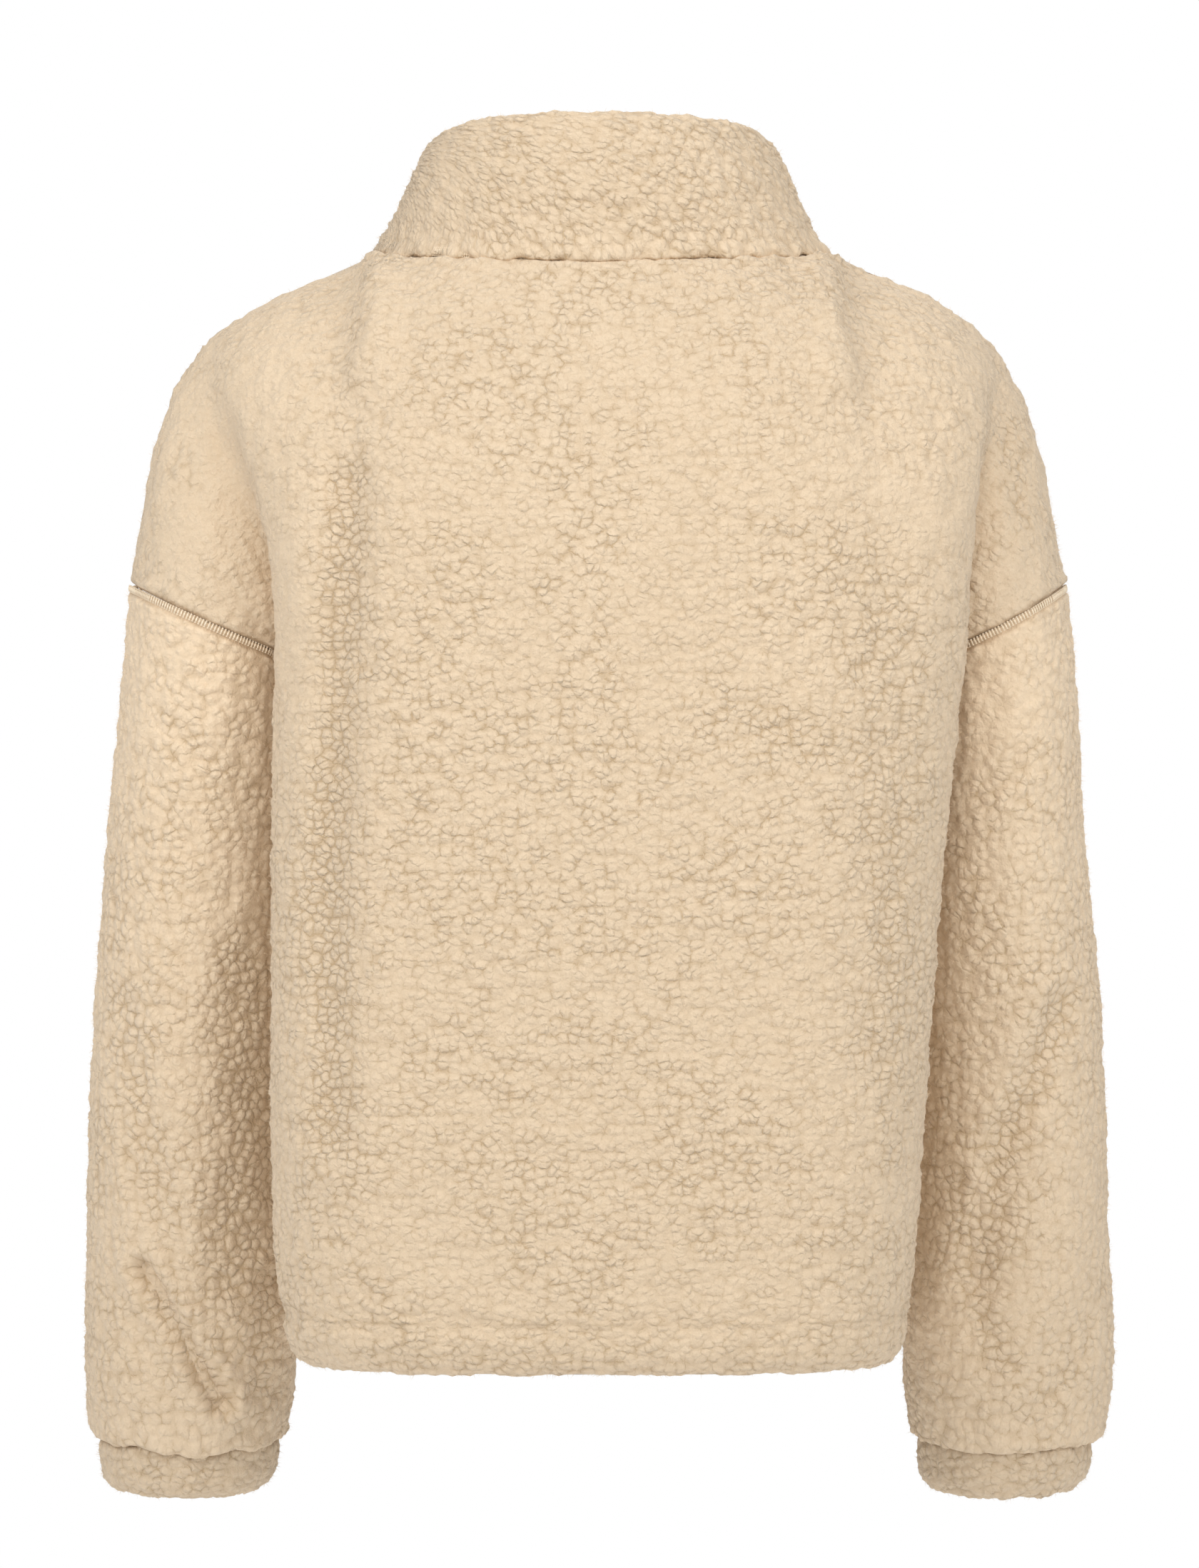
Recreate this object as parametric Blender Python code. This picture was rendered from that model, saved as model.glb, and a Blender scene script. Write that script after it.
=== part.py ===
# Sherpa fleece jacket, hollow and filled out as on a wearer, arms hanging.
# X runs to the wearer's right, Y from the back to the chest, Z up.
# The origin is the middle of the neck opening, level with the back collar seam.

import math

import bmesh
import bpy
from mathutils import Matrix, Vector

MM = 0.001

# Driving dimensions, in millimetres.
SEAM_GAP = 0.32           # between two pieces along a seam
PILE_WALL = 5.0           # fleece backing and pile together
HEM_WALL = 8.5            # the hem is turned up, so it is double
HEM_DEPTH = 28.0          # from the hem's stitch line to its edge
HEM_GROOVE = 3.0          # how deep the stitch line pulls the pile in
COLLAR_WALL = 8.5         # outer and inner collar together
CUFF_WALL = 7.5           # the cuff is a turned tunnel for elastic
EDGE_ROLL = 0.4           # how far a free edge bulges, as a share of its wall
UNDERARM_Z = -216.0
UNDERARM_Y = 14.0
ZIP_HALF_SLOT = 9.0       # from the zip's middle to each front edge
TAPE_INNER = 2.6
TAPE_THICK = 1.0
TAPE_SINK = 3.4           # the zip lies this far under the tips of the pile
CHAIN_HALF = 2.25
CHAIN_THICK = 2.4

# Columns count from the centre back or the front edge out to the side seam.
NECK_COL = 7              # side end of the neckline
RIDGE_COL = 10            # where the body turns in beside the sleeve
TUCK_COL = 12             # bottom of the crease between body and arm
SEAM_COL = 17             # side seam below the underarm, armhole above it
RELAX_REACH = 52.0        # the cloth round the underarm is evened out this far
RELAX_STEPS = 8
YOKE_ROWS = 10            # rows from the underarm to the shoulder
COLLAR_ROWS = 5

# Sections of the body from the hem up to the underarm, as half widths and depths.
BODY_COLUMNS = (
    "z", "back", "front", "front_wide", "side",
    "ridge_left", "tuck_left", "ridge_right", "tuck_right", "ridge_back",
)
BODY = (
    (-600, 116, 110, 137, 137, 163, 13, 158, 13, 46),
    (-594, 121, 114, 141, 140, 169, 13, 164, 13, 50),
    (-572, 126, 119, 144, 143, 175, 14, 169, 14, 55),
    (-540, 128, 122, 146, 145, 179, 14, 173, 14, 58),
    (-454, 130, 126, 147, 146, 181, 14, 179, 15, 60),
    (-369, 129, 130, 147, 146, 180, 14, 185, 17, 62),
    (-283, 128, 134, 148, 148, 179.5, 14, 193, 20, 63),
    (-245, 127.5, 135, 149, 151, 179, 14, 197, 22, 63),
    (-216, 127, 135, 150, 158, 179, 14, 201, 23, 63),
)
BODY_ROWS_Z = (-600, -596, -588, -578, -572, -566, -554)
BODY_STEPS = 14           # even rows from the last of those up to the underarm

# The shoulder seam from the side of the neck to the top of the armhole seam.
SHOULDER_COLUMNS = ("col", "left", "right", "y", "z")
SHOULDER = (
    (7, 129, 129, 5, 12),
    (7.35, 138, 138, 5, 6.5),
    (8, 157, 156, 4, -0.5),
    (9, 186, 184, 4, -12),
    (10, 215, 211, 5, -31),
    (11, 222, 218, 6, -37.5),
    (12, 228, 223.5, 7, -45),
    (13, 239, 234, 9, -64),
    (14, 246.5, 241, 12, -86),
    (15, 251, 246, 14, -110),
    (16, 257, 252.5, 17, -140),
    (17, 262.5, 259.5, 20, -172),
)

# Handles of the curves that rise from the underarm level to the neck and shoulder.
# Start handles leave the lower end, end handles leave the upper end.
YOKE_COLUMNS = (
    "col", "start_left", "start_right", "start_y", "start_z",
    "end_left", "end_right", "end_y", "end_z",
)
BACK_YOKE = (
    (0, 0, 0, -4, 78, 0, 0, -30, -55),
    (7, 0, 0, -12, 100, 2, 2, -85, -26),
    (10, -5, 4, -24, 76, -7, 3, -78, -24),
    (12, 1, 8, -12, 70, -6, 1, -50, -28),
    (13, 8, 20, -34, 48, 4, 6, -58, -20),
    (14, 14, 30, -60, 24, 6, 7, -64, -10),
    (17, 14, 40, -88, 0, 0, 0, -94, 0),
)
FRONT_YOKE = (
    (0, 0, 0, 3, 62, 0, 0, 20, -40),
    (7, 0, 0, 5, 85, 0, 0, 70, -32),
    (10, 4, 4, 8, 62, -8, -8, 62, -26),
    (12, 12, 12, 14, 50, 2, 2, 50, -25),
    (14, 16, 16, 48, 22, 5, 5, 62, -8),
    (17, 20, 20, 94, 0, 0, 0, 94, 0),
)

# Sections of a sleeve from the armhole seam to the cuff seam.
# The leans tip the ring outwards where it leaves the underarm, behind and in front.
SLEEVE_COLUMNS = (
    "row", "out_left", "out_right", "out_z", "in_left", "in_right", "in_z", "y", "depth",
    "back_left", "back_right", "front_lean",
)
SLEEVE = (
    (0, 262.5, 259.5, -172, 158, 158, -216, 17, 71, 14, 40, 20),
    (3, 267, 265.5, -222, 161.5, 161.5, -250, 22, 72, 12, 36, 16),
    (7, 275.7, 270.5, -304, 168, 168, -316, 30, 70, 4, 18, 6),
    (11, 282.3, 279, -384, 172, 172, -390, 38, 68, 0, 4, 0),
    (15, 287.6, 284.5, -465, 174, 174, -467, 45, 66, 0, 0, 0),
    (19, 290, 287, -543, 174, 173, -542, 51, 65, 0, 0, 0),
    (22, 291, 290.4, -594, 171.8, 170.5, -594, 55, 64, 0, 0, 0),
    (24, 291, 289, -626, 173.6, 171.6, -626, 56, 62, 0, 0, 0),
    (25, 290, 287, -638, 175.8, 174, -638, 57, 59, 0, 0, 0),
    (26, 285.5, 284, -647, 178.5, 177.5, -647, 57, 54, 0, 0, 0),
    (27, 279, 274.5, -652, 185, 184, -652, 57, 46, 0, 0, 0),
)
SLEEVE_ROWS = 27

CUFF = (
    (0, 279, 274.5, -652, 185, 184, -652, 57, 46, 0, 0, 0),
    (1, 283, 277.5, -657, 181.5, 179.5, -657, 57, 50, 0, 0, 0),
    (2, 284, 277.5, -667, 181.8, 178.8, -667, 57, 50, 0, 0, 0),
    (3, 281, 275, -675.5, 185, 180.5, -675.5, 57, 47, 0, 0, 0),
    (4, 273, 267, -680.5, 193, 189, -680.5, 57, 42, 0, 0, 0),
)
CUFF_ROWS = 4
CUFF_DROOP = 2.0          # the back of the cuff hangs this much lower than its sides

# The neckline and the collar's top edge, as half axes about the neck's middle.
NECK_OUT = 129.0
NECK_BACK = 75.0
NECK_FRONT = 92.0
NECK_BACK_Z = 2.0
NECK_SIDE = (5.0, 12.0)   # y and z of the side of the neck
NECK_FRONT_Z = -48.0
RIM_OUT = 98.5
RIM_BACK = 66.0
RIM_FRONT = 85.0
RIM_BACK_Z = 81.7
RIM_SIDE = (8.0, 66.0)
RIM_FRONT_Z = 26.0
COLLAR_ROLL = 5.0         # how far the middle of the collar bows out at the back

# Folds are soft troughs, or ridges where depth is negative, between two points.
FOLD_COLUMNS = ("x0", "y0", "z0", "x1", "y1", "z1", "depth", "width")
FOLDS = (
    (-134, -106, -85, -141, -108, -235, 8, 22),     # trough down the back's left side
    (-141, -108, -235, -146, -110, -400, 6, 22),
    (152, -98, -150, 158, -95, -330, 2.5, 24),      # shallow twin on the right
    (-70, -122, -420, 60, -126, -470, 2.0, 30),
    (236, -38, -85, 231, -45, -160, 4, 13),         # back of the right arm
    (-232, -48, -230, -222, -40, -400, 3, 18),
    (-250, -10, -455, -246, -10, -545, 4, 15),      # left sleeve
    (-260, 0, -560, -232, -12, -622, 8, 13),
    (-190, 5, -575, -204, -8, -625, 6, 11),
    (246, -20, -430, 222, -22, -545, 7, 15),        # right sleeve
    (218, -15, -530, 196, -10, -620, 7, 13),
    (270, 10, -570, 252, -6, -640, 7, 12),
    (-118, 116, -120, -138, 98, -300, 7, 22),       # front panels
    (119, 116, -128, 137, 98, -300, 6, 22),
    (-70, 130, -330, -96, 118, -520, 4, 24),
    (84, 128, -360, 100, 116, -540, 4, 24),
    (-252, 90, -300, -240, 100, -430, 5, 16),       # fronts of the sleeves
    (246, 92, -310, 250, 99, -430, 4, 17),
    (-250, 116, -560, -226, 118, -625, 7, 13),
    (250, 116, -550, 228, 118, -620, 7, 13),
    (-200, 100, -520, -214, 116, -600, 5, 14),
    (200, 100, -535, 214, 116, -610, 5, 14),
)

# The slider and its pull, in a small frame: X across, Y out of the cloth, Z up the zip.
SLIDER_Z = 12.0           # height of the slider's middle
SLIDER_HALF = 6.0         # half the slider's length
AXIS_OUT = 0.6            # the pull's bar, from the tips of the pile outwards
BAR_RADIUS = 0.75
EYE_REACH = 6.0           # from the bar to the far end of the pull's eye
PULL_LENGTH = 32.0
PULL_WIDTH = 7.0
PULL_THICK = 1.5

# Each cloth piece with the linear colour of its pile.
PIECE_COLOURS = {
    "back": (0.80, 0.64, 0.44),
    "front_left": (0.80, 0.64, 0.44),
    "front_right": (0.80, 0.64, 0.44),
    "sleeve_left": (0.79, 0.62, 0.43),
    "sleeve_right": (0.75, 0.58, 0.40),
    "cuff_left": (0.73, 0.56, 0.39),
    "cuff_right": (0.68, 0.52, 0.36),
    "collar": (0.81, 0.64, 0.45),
}
PIECES = tuple(PIECE_COLOURS)
SIDES = {"left": -1, "right": 1}


def clear_scene():
    for thing in list(bpy.data.objects):
        bpy.data.objects.remove(thing, do_unlink=True)


def collection(name):
    made = bpy.data.collections.new(name)
    bpy.context.scene.collection.children.link(made)
    return made


def material(name, colour, roughness, metallic=0.0):
    made = bpy.data.materials.new(name)
    made.use_nodes = True
    shader = made.node_tree.nodes["Principled BSDF"]
    shader.inputs["Base Color"].default_value = (*colour, 1.0)
    shader.inputs["Roughness"].default_value = roughness
    shader.inputs["Metallic"].default_value = metallic
    return made


def smooth(stations, values, at):
    """A smooth curve through values at rising stations, read at one place."""
    last = len(stations) - 1
    if at <= stations[0]:
        return values[0]
    if at >= stations[last]:
        return values[last]
    i = max(k for k in range(last) if stations[k] <= at)

    def slope(k):
        if k in (0, last):
            a, b = (0, 1) if k == 0 else (last - 1, last)
            return (values[b] - values[a]) / (stations[b] - stations[a])
        before = (values[k] - values[k - 1]) / (stations[k] - stations[k - 1])
        after = (values[k + 1] - values[k]) / (stations[k + 1] - stations[k])
        share = (stations[k] - stations[k - 1]) / (stations[k + 1] - stations[k - 1])
        return before * (1 - share) + after * share

    span = stations[i + 1] - stations[i]
    t = (at - stations[i]) / span
    return (
        values[i] * (2 * t**3 - 3 * t**2 + 1)
        + slope(i) * (span * (t**3 - 2 * t**2 + t))
        + values[i + 1] * (3 * t**2 - 2 * t**3)
        + slope(i + 1) * (span * (t**3 - t**2))
    )


def column(table, names, name):
    return [row[names.index(name)] for row in table]


def read(table, names, key, at):
    """One row of a table, read smoothly at a value of its key column."""
    stations = column(table, names, key)
    return {
        name: smooth(stations, column(table, names, name), at)
        for name in names if name != key
    }


def bezier(a, b, c, d, t):
    u = 1 - t
    return a * u**3 + b * (3 * u * u * t) + c * (3 * u * t * t) + d * t**3


def evenly(curve, count):
    """Points at even lengths along a curve that runs from 0 to 1."""
    fine = 80
    points = [curve(k / fine) for k in range(fine + 1)]
    reach = [0.0]
    for a, b in zip(points, points[1:]):
        reach.append(reach[-1] + (b - a).length)
    found = []
    k = 0
    for n in range(count + 1):
        want = reach[-1] * n / count
        while k < fine - 1 and reach[k + 1] < want:
            k += 1
        share = (want - reach[k]) / (reach[k + 1] - reach[k])
        found.append(points[k].lerp(points[k + 1], min(1.0, share)))
    return found


def body_point(side, face, col, z):
    """A point on the body below the underarm: face is -1 at the back, 1 at the front."""
    row = read(BODY, BODY_COLUMNS, "z", z)
    seam = Vector((row["side"], UNDERARM_Y, 0))
    if face < 0:
        word = "_left" if side < 0 else "_right"
        wide, tuck = row["ridge" + word], row["tuck" + word]
        deep, turn = row["back"], row["ridge_back"]
        outline = (
            (0, Vector((0, -deep, 0))),
            (3, Vector((0.35 * wide, -deep + 1.5, 0))),
            (6, Vector((0.69 * wide, -deep + 10, 0))),
            (8, Vector((0.89 * wide, -deep + 29, 0))),
            (RIDGE_COL, Vector((wide, -turn, 0))),
            (RIDGE_COL + 1, Vector((wide - 0.3 * tuck, -turn + 13, 0))),
            (TUCK_COL, Vector((wide - tuck, -turn + 27, 0))),
            (SEAM_COL, seam),
        )
    else:
        deep, wide = row["front"], row["front_wide"]
        outline = (
            (0, Vector((ZIP_HALF_SLOT, deep, 0))),
            (3, Vector((0.39 * wide, deep - 3, 0))),
            (6, Vector((0.71 * wide, deep - 15, 0))),
            (8, Vector((0.87 * wide, deep - 31, 0))),
            (RIDGE_COL, Vector((0.97 * wide, deep - 51, 0))),
            (TUCK_COL, Vector((wide, deep - 74, 0))),
            (SEAM_COL, seam),
        )
    point = smooth([o[0] for o in outline], [o[1] for o in outline], col)
    return Vector((side * point.x, point.y, z))


def neck_point(face, share, out, back, front, back_z, side_yz, front_z, flat_back):
    """A point on a ring round the neck, share 0 at the centre and 1 at the side."""
    turn = share * math.pi / 2
    middle = math.cos(turn)
    deep = back if face < 0 else front
    middle_z = back_z if face < 0 else front_z
    x = out * math.sin(turn)
    if face > 0:
        x = max(x, ZIP_HALF_SLOT)
    y = side_yz[0] + (face * deep - side_yz[0]) * middle
    level = 1 - (1 - middle) ** 2 if flat_back and face < 0 else middle ** 1.6
    z = side_yz[1] + (middle_z - side_yz[1]) * level
    return Vector((x, y, z))


def neckline(face, share):
    return neck_point(
        face, share, NECK_OUT, NECK_BACK, NECK_FRONT,
        NECK_BACK_Z, NECK_SIDE, NECK_FRONT_Z, False,
    )


def collar_rim(face, share):
    return neck_point(
        face, share, RIM_OUT, RIM_BACK, RIM_FRONT, RIM_BACK_Z, RIM_SIDE, RIM_FRONT_Z, True
    )


def shoulder_line(side):
    """Points from the side of the neck down to the armhole, one for each column."""
    found = []
    for col in range(NECK_COL, SEAM_COL + 1):
        row = read(SHOULDER, SHOULDER_COLUMNS, "col", col)
        found.append(Vector((row["left" if side < 0 else "right"], row["y"], row["z"])))
    return found


def neck_shares(face):
    """Shares of the quarter turn that space the neckline's columns evenly."""
    first = math.asin(ZIP_HALF_SLOT / NECK_OUT) * 2 / math.pi if face > 0 else 0.0
    return [first + (1 - first) * c / NECK_COL for c in range(NECK_COL + 1)]


def top_points(side, face):
    """The upper edge of half a panel: neckline, then shoulder seam, with X outwards."""
    line = shoulder_line(side)
    neck = [neckline(face, share) for share in neck_shares(face)]
    neck[-1] = line[0].copy()
    return neck[:-1] + line


def yoke_column(side, face, col, top):
    """A column of points from the underarm level up to the neck or shoulder."""
    handles = read(
        BACK_YOKE if face < 0 else FRONT_YOKE, YOKE_COLUMNS, "col", col
    )
    start = body_point(side, face, col, UNDERARM_Z)
    end = Vector((side * top.x, top.y, top.z))
    word = "_left" if side < 0 else "_right"
    leave = Vector((side * handles["start" + word], handles["start_y"], handles["start_z"]))
    arrive = Vector((side * handles["end" + word], handles["end_y"], handles["end_z"]))
    return evenly(lambda t: bezier(start, start + leave, end + arrive, end, t), YOKE_ROWS)


def body_heights():
    low = BODY_ROWS_Z[-1]
    rise = (UNDERARM_Z - low) / BODY_STEPS
    return list(BODY_ROWS_Z) + [low + rise * n for n in range(1, BODY_STEPS)]


def panel_grid(side, face):
    """Columns of points for half a back or for one front, hem first."""
    top = top_points(side, face)
    return [
        [body_point(side, face, col, z) for z in body_heights()]
        + yoke_column(side, face, col, top[col])
        for col in range(SEAM_COL + 1)
    ]


def arm_ring(side, row):
    """A closed ring of points round an arm: up the back, then down the front."""
    word = "_left" if side < 0 else "_right"
    outer = Vector((side * row["out" + word], row["y"] + 3, row["out_z"]))
    inner = Vector((side * row["in" + word], row["y"] - 3, row["in_z"]))
    reach = Vector((0, row["depth"] * 4 / 3, 0))
    lean = {-1: row["back" + word], 1: row["front_lean"]}

    def half(way):
        leave = Vector((side * lean[way], way * row["depth"] * 4 / 3, 0))
        return evenly(
            lambda t: bezier(inner, inner + leave, outer + reach * way, outer, t), YOKE_ROWS
        )

    back, front = half(-1), half(1)
    return back + front[-2:0:-1]


def armhole_ring(side):
    """The ring where body and sleeve meet, from the panels' own columns."""
    rings = []
    for face in (-1, 1):
        top = top_points(side, face)[SEAM_COL]
        rings.append(yoke_column(side, face, SEAM_COL, top))
    back, front = rings
    return back + front[-2:0:-1]


def tube_rings(side, table, rows):
    return [arm_ring(side, read(table, SLEEVE_COLUMNS, "row", row)) for row in range(rows + 1)]


def sleeve_rings(side):
    """Rings from the armhole to the cuff seam. The first few ease out of the armhole's own ring."""
    rings = tube_rings(side, SLEEVE, SLEEVE_ROWS)
    hole = armhole_ring(side)
    drift = [a - b for a, b in zip(hole, rings[0])]
    eased = 4
    for k in range(eased):
        weight = (1 - k / eased) ** 2
        rings[k] = [p + d * weight for p, d in zip(rings[k], drift)]
    return rings


def cuff_rings(side):
    rings = tube_rings(side, CUFF, CUFF_ROWS)
    for k, ring in enumerate(rings):
        middle = sum((p.y for p in ring)) / len(ring)
        deepest = max(abs(p.y - middle) for p in ring)
        for p in ring:
            p.z -= CUFF_DROOP * abs(p.y - middle) / deepest * k / CUFF_ROWS
    return rings


def collar_arc(side, face):
    """Columns of the collar from the centre to the side of the neck, seam first."""
    base = top_points(side, face)
    columns = []
    for col, share in enumerate(neck_shares(face)):
        low = base[col]
        high = collar_rim(face, share)
        bow = COLLAR_ROLL * abs(math.cos(share * math.pi / 2)) * (1 if face < 0 else 0.3)
        rise = []
        for k in range(COLLAR_ROWS + 1):
            t = k / COLLAR_ROWS
            p = low.lerp(high, t)
            p.y += face * bow * math.sin(math.pi * t)
            p.x -= (1.2 * math.sin(2 * math.pi * t) + 2.2 * math.sin(math.pi * t)) * share**2
            rise.append(Vector((side * p.x, p.y, p.z)))
        columns.append(rise)
    return columns


def add_grid(mesh, layer, number, columns, closed=False):
    """Adds a grid of quads and marks each with the number of its piece."""
    verts = [[mesh.verts.new(p * MM) for p in line] for line in columns]
    count = len(verts)
    for i in range(count if closed else count - 1):
        a, b = verts[i], verts[(i + 1) % count]
        for j in range(len(a) - 1):
            face = mesh.faces.new((a[j], b[j], b[j + 1], a[j + 1]))
            face[layer] = number


def turned(rings):
    """Rings one after another, read as lines along the tube."""
    return [list(line) for line in zip(*rings)]


def whole_surface():
    """The outer surface of all the cloth as one mesh, welded along the seams.

    The wall of each piece is laid out from this one mesh, because both sides of a seam then
    share their normals and meet flush, which Solidify on separate pieces would not give.
    """
    mesh = bmesh.new()
    layer = mesh.faces.layers.int.new("piece")
    number = {name: n for n, name in enumerate(PIECES)}
    for word, side in SIDES.items():
        add_grid(mesh, layer, number["back"], panel_grid(side, -1))
        add_grid(mesh, layer, number["front_" + word], panel_grid(side, 1))
        add_grid(
            mesh, layer, number["sleeve_" + word], turned(sleeve_rings(side)), closed=True
        )
        add_grid(mesh, layer, number["cuff_" + word], turned(cuff_rings(side)), closed=True)
        add_grid(mesh, layer, number["collar"], collar_arc(side, -1))
        add_grid(mesh, layer, number["collar"], collar_arc(side, 1))
    bmesh.ops.remove_doubles(mesh, verts=mesh.verts, dist=0.02 * MM)
    relax_underarms(mesh)
    bmesh.ops.recalc_face_normals(mesh, faces=mesh.faces)
    middle_back = min(mesh.faces, key=lambda f: f.calc_center_median().y)
    if middle_back.normal.y > 0:
        bmesh.ops.reverse_faces(mesh, faces=mesh.faces)
    mesh.normal_update()
    return mesh, layer


def relax_underarms(mesh):
    """Evens out the cloth where body and sleeve meet under the arm, most at the seam itself."""
    inner = SLEEVE[0][SLEEVE_COLUMNS.index("in_left")]
    for side in SIDES.values():
        middle = Vector((side * inner, UNDERARM_Y, UNDERARM_Z)) * MM
        for step in range(RELAX_STEPS):
            reach = RELAX_REACH * MM * (1 - 0.5 * step / RELAX_STEPS)
            near = [v for v in mesh.verts if (v.co - middle).length < reach]
            bmesh.ops.smooth_vert(
                mesh, verts=near, factor=0.5, use_axis_x=True, use_axis_y=True, use_axis_z=True
            )


def fold_depth(point, row):
    """How far a fold moves a point, in metres: full on its line, fading past its ends."""
    fold = dict(zip(FOLD_COLUMNS, row))
    a = Vector((fold["x0"], fold["y0"], fold["z0"])) * MM
    b = Vector((fold["x1"], fold["y1"], fold["z1"])) * MM
    line = b - a
    share = (point - a).dot(line) / line.length_squared
    held = min(1.0, max(0.0, share))
    off = (point - a.lerp(b, held)).length / (fold["width"] * MM)
    taper = min(1.0, 0.35 + 2.6 * min(held, 1 - held))
    return fold["depth"] * MM * taper * math.exp(-off * off)


def press_folds(mesh):
    """Pushes the folds and the hem's stitch line into the surface along its normals."""
    moves = []
    for vert in mesh.verts:
        depth = sum(fold_depth(vert.co, row) for row in FOLDS)
        if abs(vert.co.z - BODY_ROWS_Z[4] * MM) < 0.5 * MM and abs(vert.co.x) < 0.19:
            arm = all(f[mesh.faces.layers.int["piece"]] in ARM_NUMBERS for f in vert.link_faces)
            depth += 0.0 if arm else HEM_GROOVE * MM
        moves.append(vert.normal * -depth)
    for vert, move in zip(mesh.verts, moves):
        vert.co += move
    mesh.normal_update()


ARM_NUMBERS = {n for n, name in enumerate(PIECES) if "sleeve" in name or "cuff" in name}


def wall_at(name, point):
    """How thick a piece's wall is at a point, in metres."""
    if name == "collar":
        return COLLAR_WALL * MM
    if name.startswith("cuff"):
        return CUFF_WALL * MM
    if name.startswith("sleeve"):
        return PILE_WALL * MM
    turned_up = min(1.0, max(0.0, (BODY_ROWS_Z[5] * MM - point.z) / (10 * MM)))
    return (PILE_WALL + (HEM_WALL - PILE_WALL) * turned_up) * MM


def off_edge(vert, edge, face):
    """The direction off an edge, in the plane of a face and towards its middle."""
    along = (edge.other_vert(vert).co - vert.co).normalized()
    across = along.cross(face.normal).normalized()
    return -across if across.dot(face.calc_center_median() - vert.co) < 0 else across


def edge_pull(ways):
    """One move that leaves every edge at a corner by the same millimetre."""
    pull = sum(ways, Vector())
    return pull.normalized() / max(0.4, pull.length / len(ways)) if pull.length > 1e-6 else pull


def rolled(ways_free, ways_sewn):
    """The direction off the free edges that stays level with the sewn ones."""
    way = sum(ways_free, Vector()).normalized()
    for sewn in ways_sewn:
        way = way - sewn * way.dot(sewn)
    return way.normalized()


def cloth_wall(mesh, layer, number, name, group, look):
    """One piece as a closed wall: its outer points, the same points moved in, and its edges."""
    faces = [f for f in mesh.faces if f[layer] == number]
    verts = {v for f in faces for v in f.verts}
    inside = {}
    for face in faces:
        for edge in face.edges:
            inside.setdefault(edge, []).append(face)
    rim = {edge: found[0] for edge, found in inside.items() if len(found) == 1}
    free = {edge for edge in rim if len(edge.link_faces) == 1 and not on_zip(edge)}

    made = bmesh.new()
    top, low, lip = {}, {}, {}
    for vert in verts:
        edges = [e for e in vert.link_edges if e in rim]
        ways = {e: off_edge(vert, e, rim[e]) for e in edges}
        place = vert.co + edge_pull(list(ways.values())) * (SEAM_GAP / 2 * MM)
        wall = min(wall_at(PIECES[f[layer]], vert.co) for f in vert.link_faces)
        down = -vert.normal * wall
        if any(on_zip(e) for e in edges):
            down.x = 0
        top[vert] = made.verts.new(place)
        low[vert] = made.verts.new(place + down)
        loose = [ways[e] for e in edges if e in free]
        if loose:
            way = rolled(loose, [ways[e] for e in edges if e not in free])
            lip[vert] = made.verts.new(place + down / 2 - way * wall * EDGE_ROLL)

    for face in faces:
        made.faces.new([top[v] for v in face.verts])
        made.faces.new([low[v] for v in reversed(face.verts)])
    for edge, face in rim.items():
        order = list(face.verts)
        a, b = edge.verts
        if order[(order.index(a) + 1) % len(order)] is not b:
            a, b = b, a
        if edge in free:
            made.faces.new((top[b], top[a], lip[a], lip[b]))
            made.faces.new((lip[b], lip[a], low[a], low[b]))
            continue
        if a.index < b.index:
            ends = [(top[b], top[a], low[b]), (top[a], low[a], low[b])]
        else:
            ends = [(top[b], top[a], low[a]), (top[b], low[a], low[b])]
        if a in lip:
            ends.append((top[a], lip[a], low[a]))
        if b in lip:
            ends.append((low[b], lip[b], top[b]))
        for end in ends:
            made.faces.new(end)
    data = bpy.data.meshes.new(name)
    made.normal_update()
    made.to_mesh(data)
    made.free()
    data.materials.append(look)
    data.shade_smooth()
    data.set_sharp_from_angle(angle=math.radians(50))
    thing = bpy.data.objects.new(name, data)
    group.objects.link(thing)
    return thing


def on_zip(edge):
    """Whether an edge is one that the zip is sewn to."""
    return all(abs(v.co.x) < (ZIP_HALF_SLOT + 3) * MM and v.co.y > 0 for v in edge.verts)


def zip_line():
    """Points down the middle of the zip's slot, in Y and Z, from the hem to the collar's edge."""
    low = [body_point(1, 1, 0, z) for z in body_heights() if z > -590]
    yoke = yoke_column(1, 1, 0, top_points(1, 1)[0])
    collar = collar_arc(1, 1)[0]
    return [Vector((0, p.y, p.z)) for p in low + yoke[:-1] + collar]


def strip(name, line, low_x, high_x, sink, thick, group, look):
    """A flat strip that follows the zip's line, as a closed box with many joints."""
    made = bmesh.new()
    rings = []
    for k, p in enumerate(line):
        before, after = line[max(0, k - 1)], line[min(len(line) - 1, k + 1)]
        along = (after - before).normalized()
        out = Vector((1, 0, 0)).cross(along)
        out = -out if out.y < 0 else out
        corners = [
            Vector((x, 0, 0)) + p + out * d
            for x, d in (
                (low_x, -sink - thick / 2), (high_x, -sink - thick / 2),
                (high_x, -sink + thick / 2), (low_x, -sink + thick / 2),
            )
        ]
        rings.append([made.verts.new(c * MM) for c in corners])
    for a, b in zip(rings, rings[1:]):
        for k in range(4):
            n = (k + 1) % 4
            made.faces.new((a[k], a[n], b[n], b[k]))
    made.faces.new(list(reversed(rings[0])))
    made.faces.new(rings[-1])
    bmesh.ops.recalc_face_normals(made, faces=made.faces)
    data = bpy.data.meshes.new(name)
    made.to_mesh(data)
    made.free()
    data.materials.append(look)
    thing = bpy.data.objects.new(name, data)
    group.objects.link(thing)
    return thing


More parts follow.
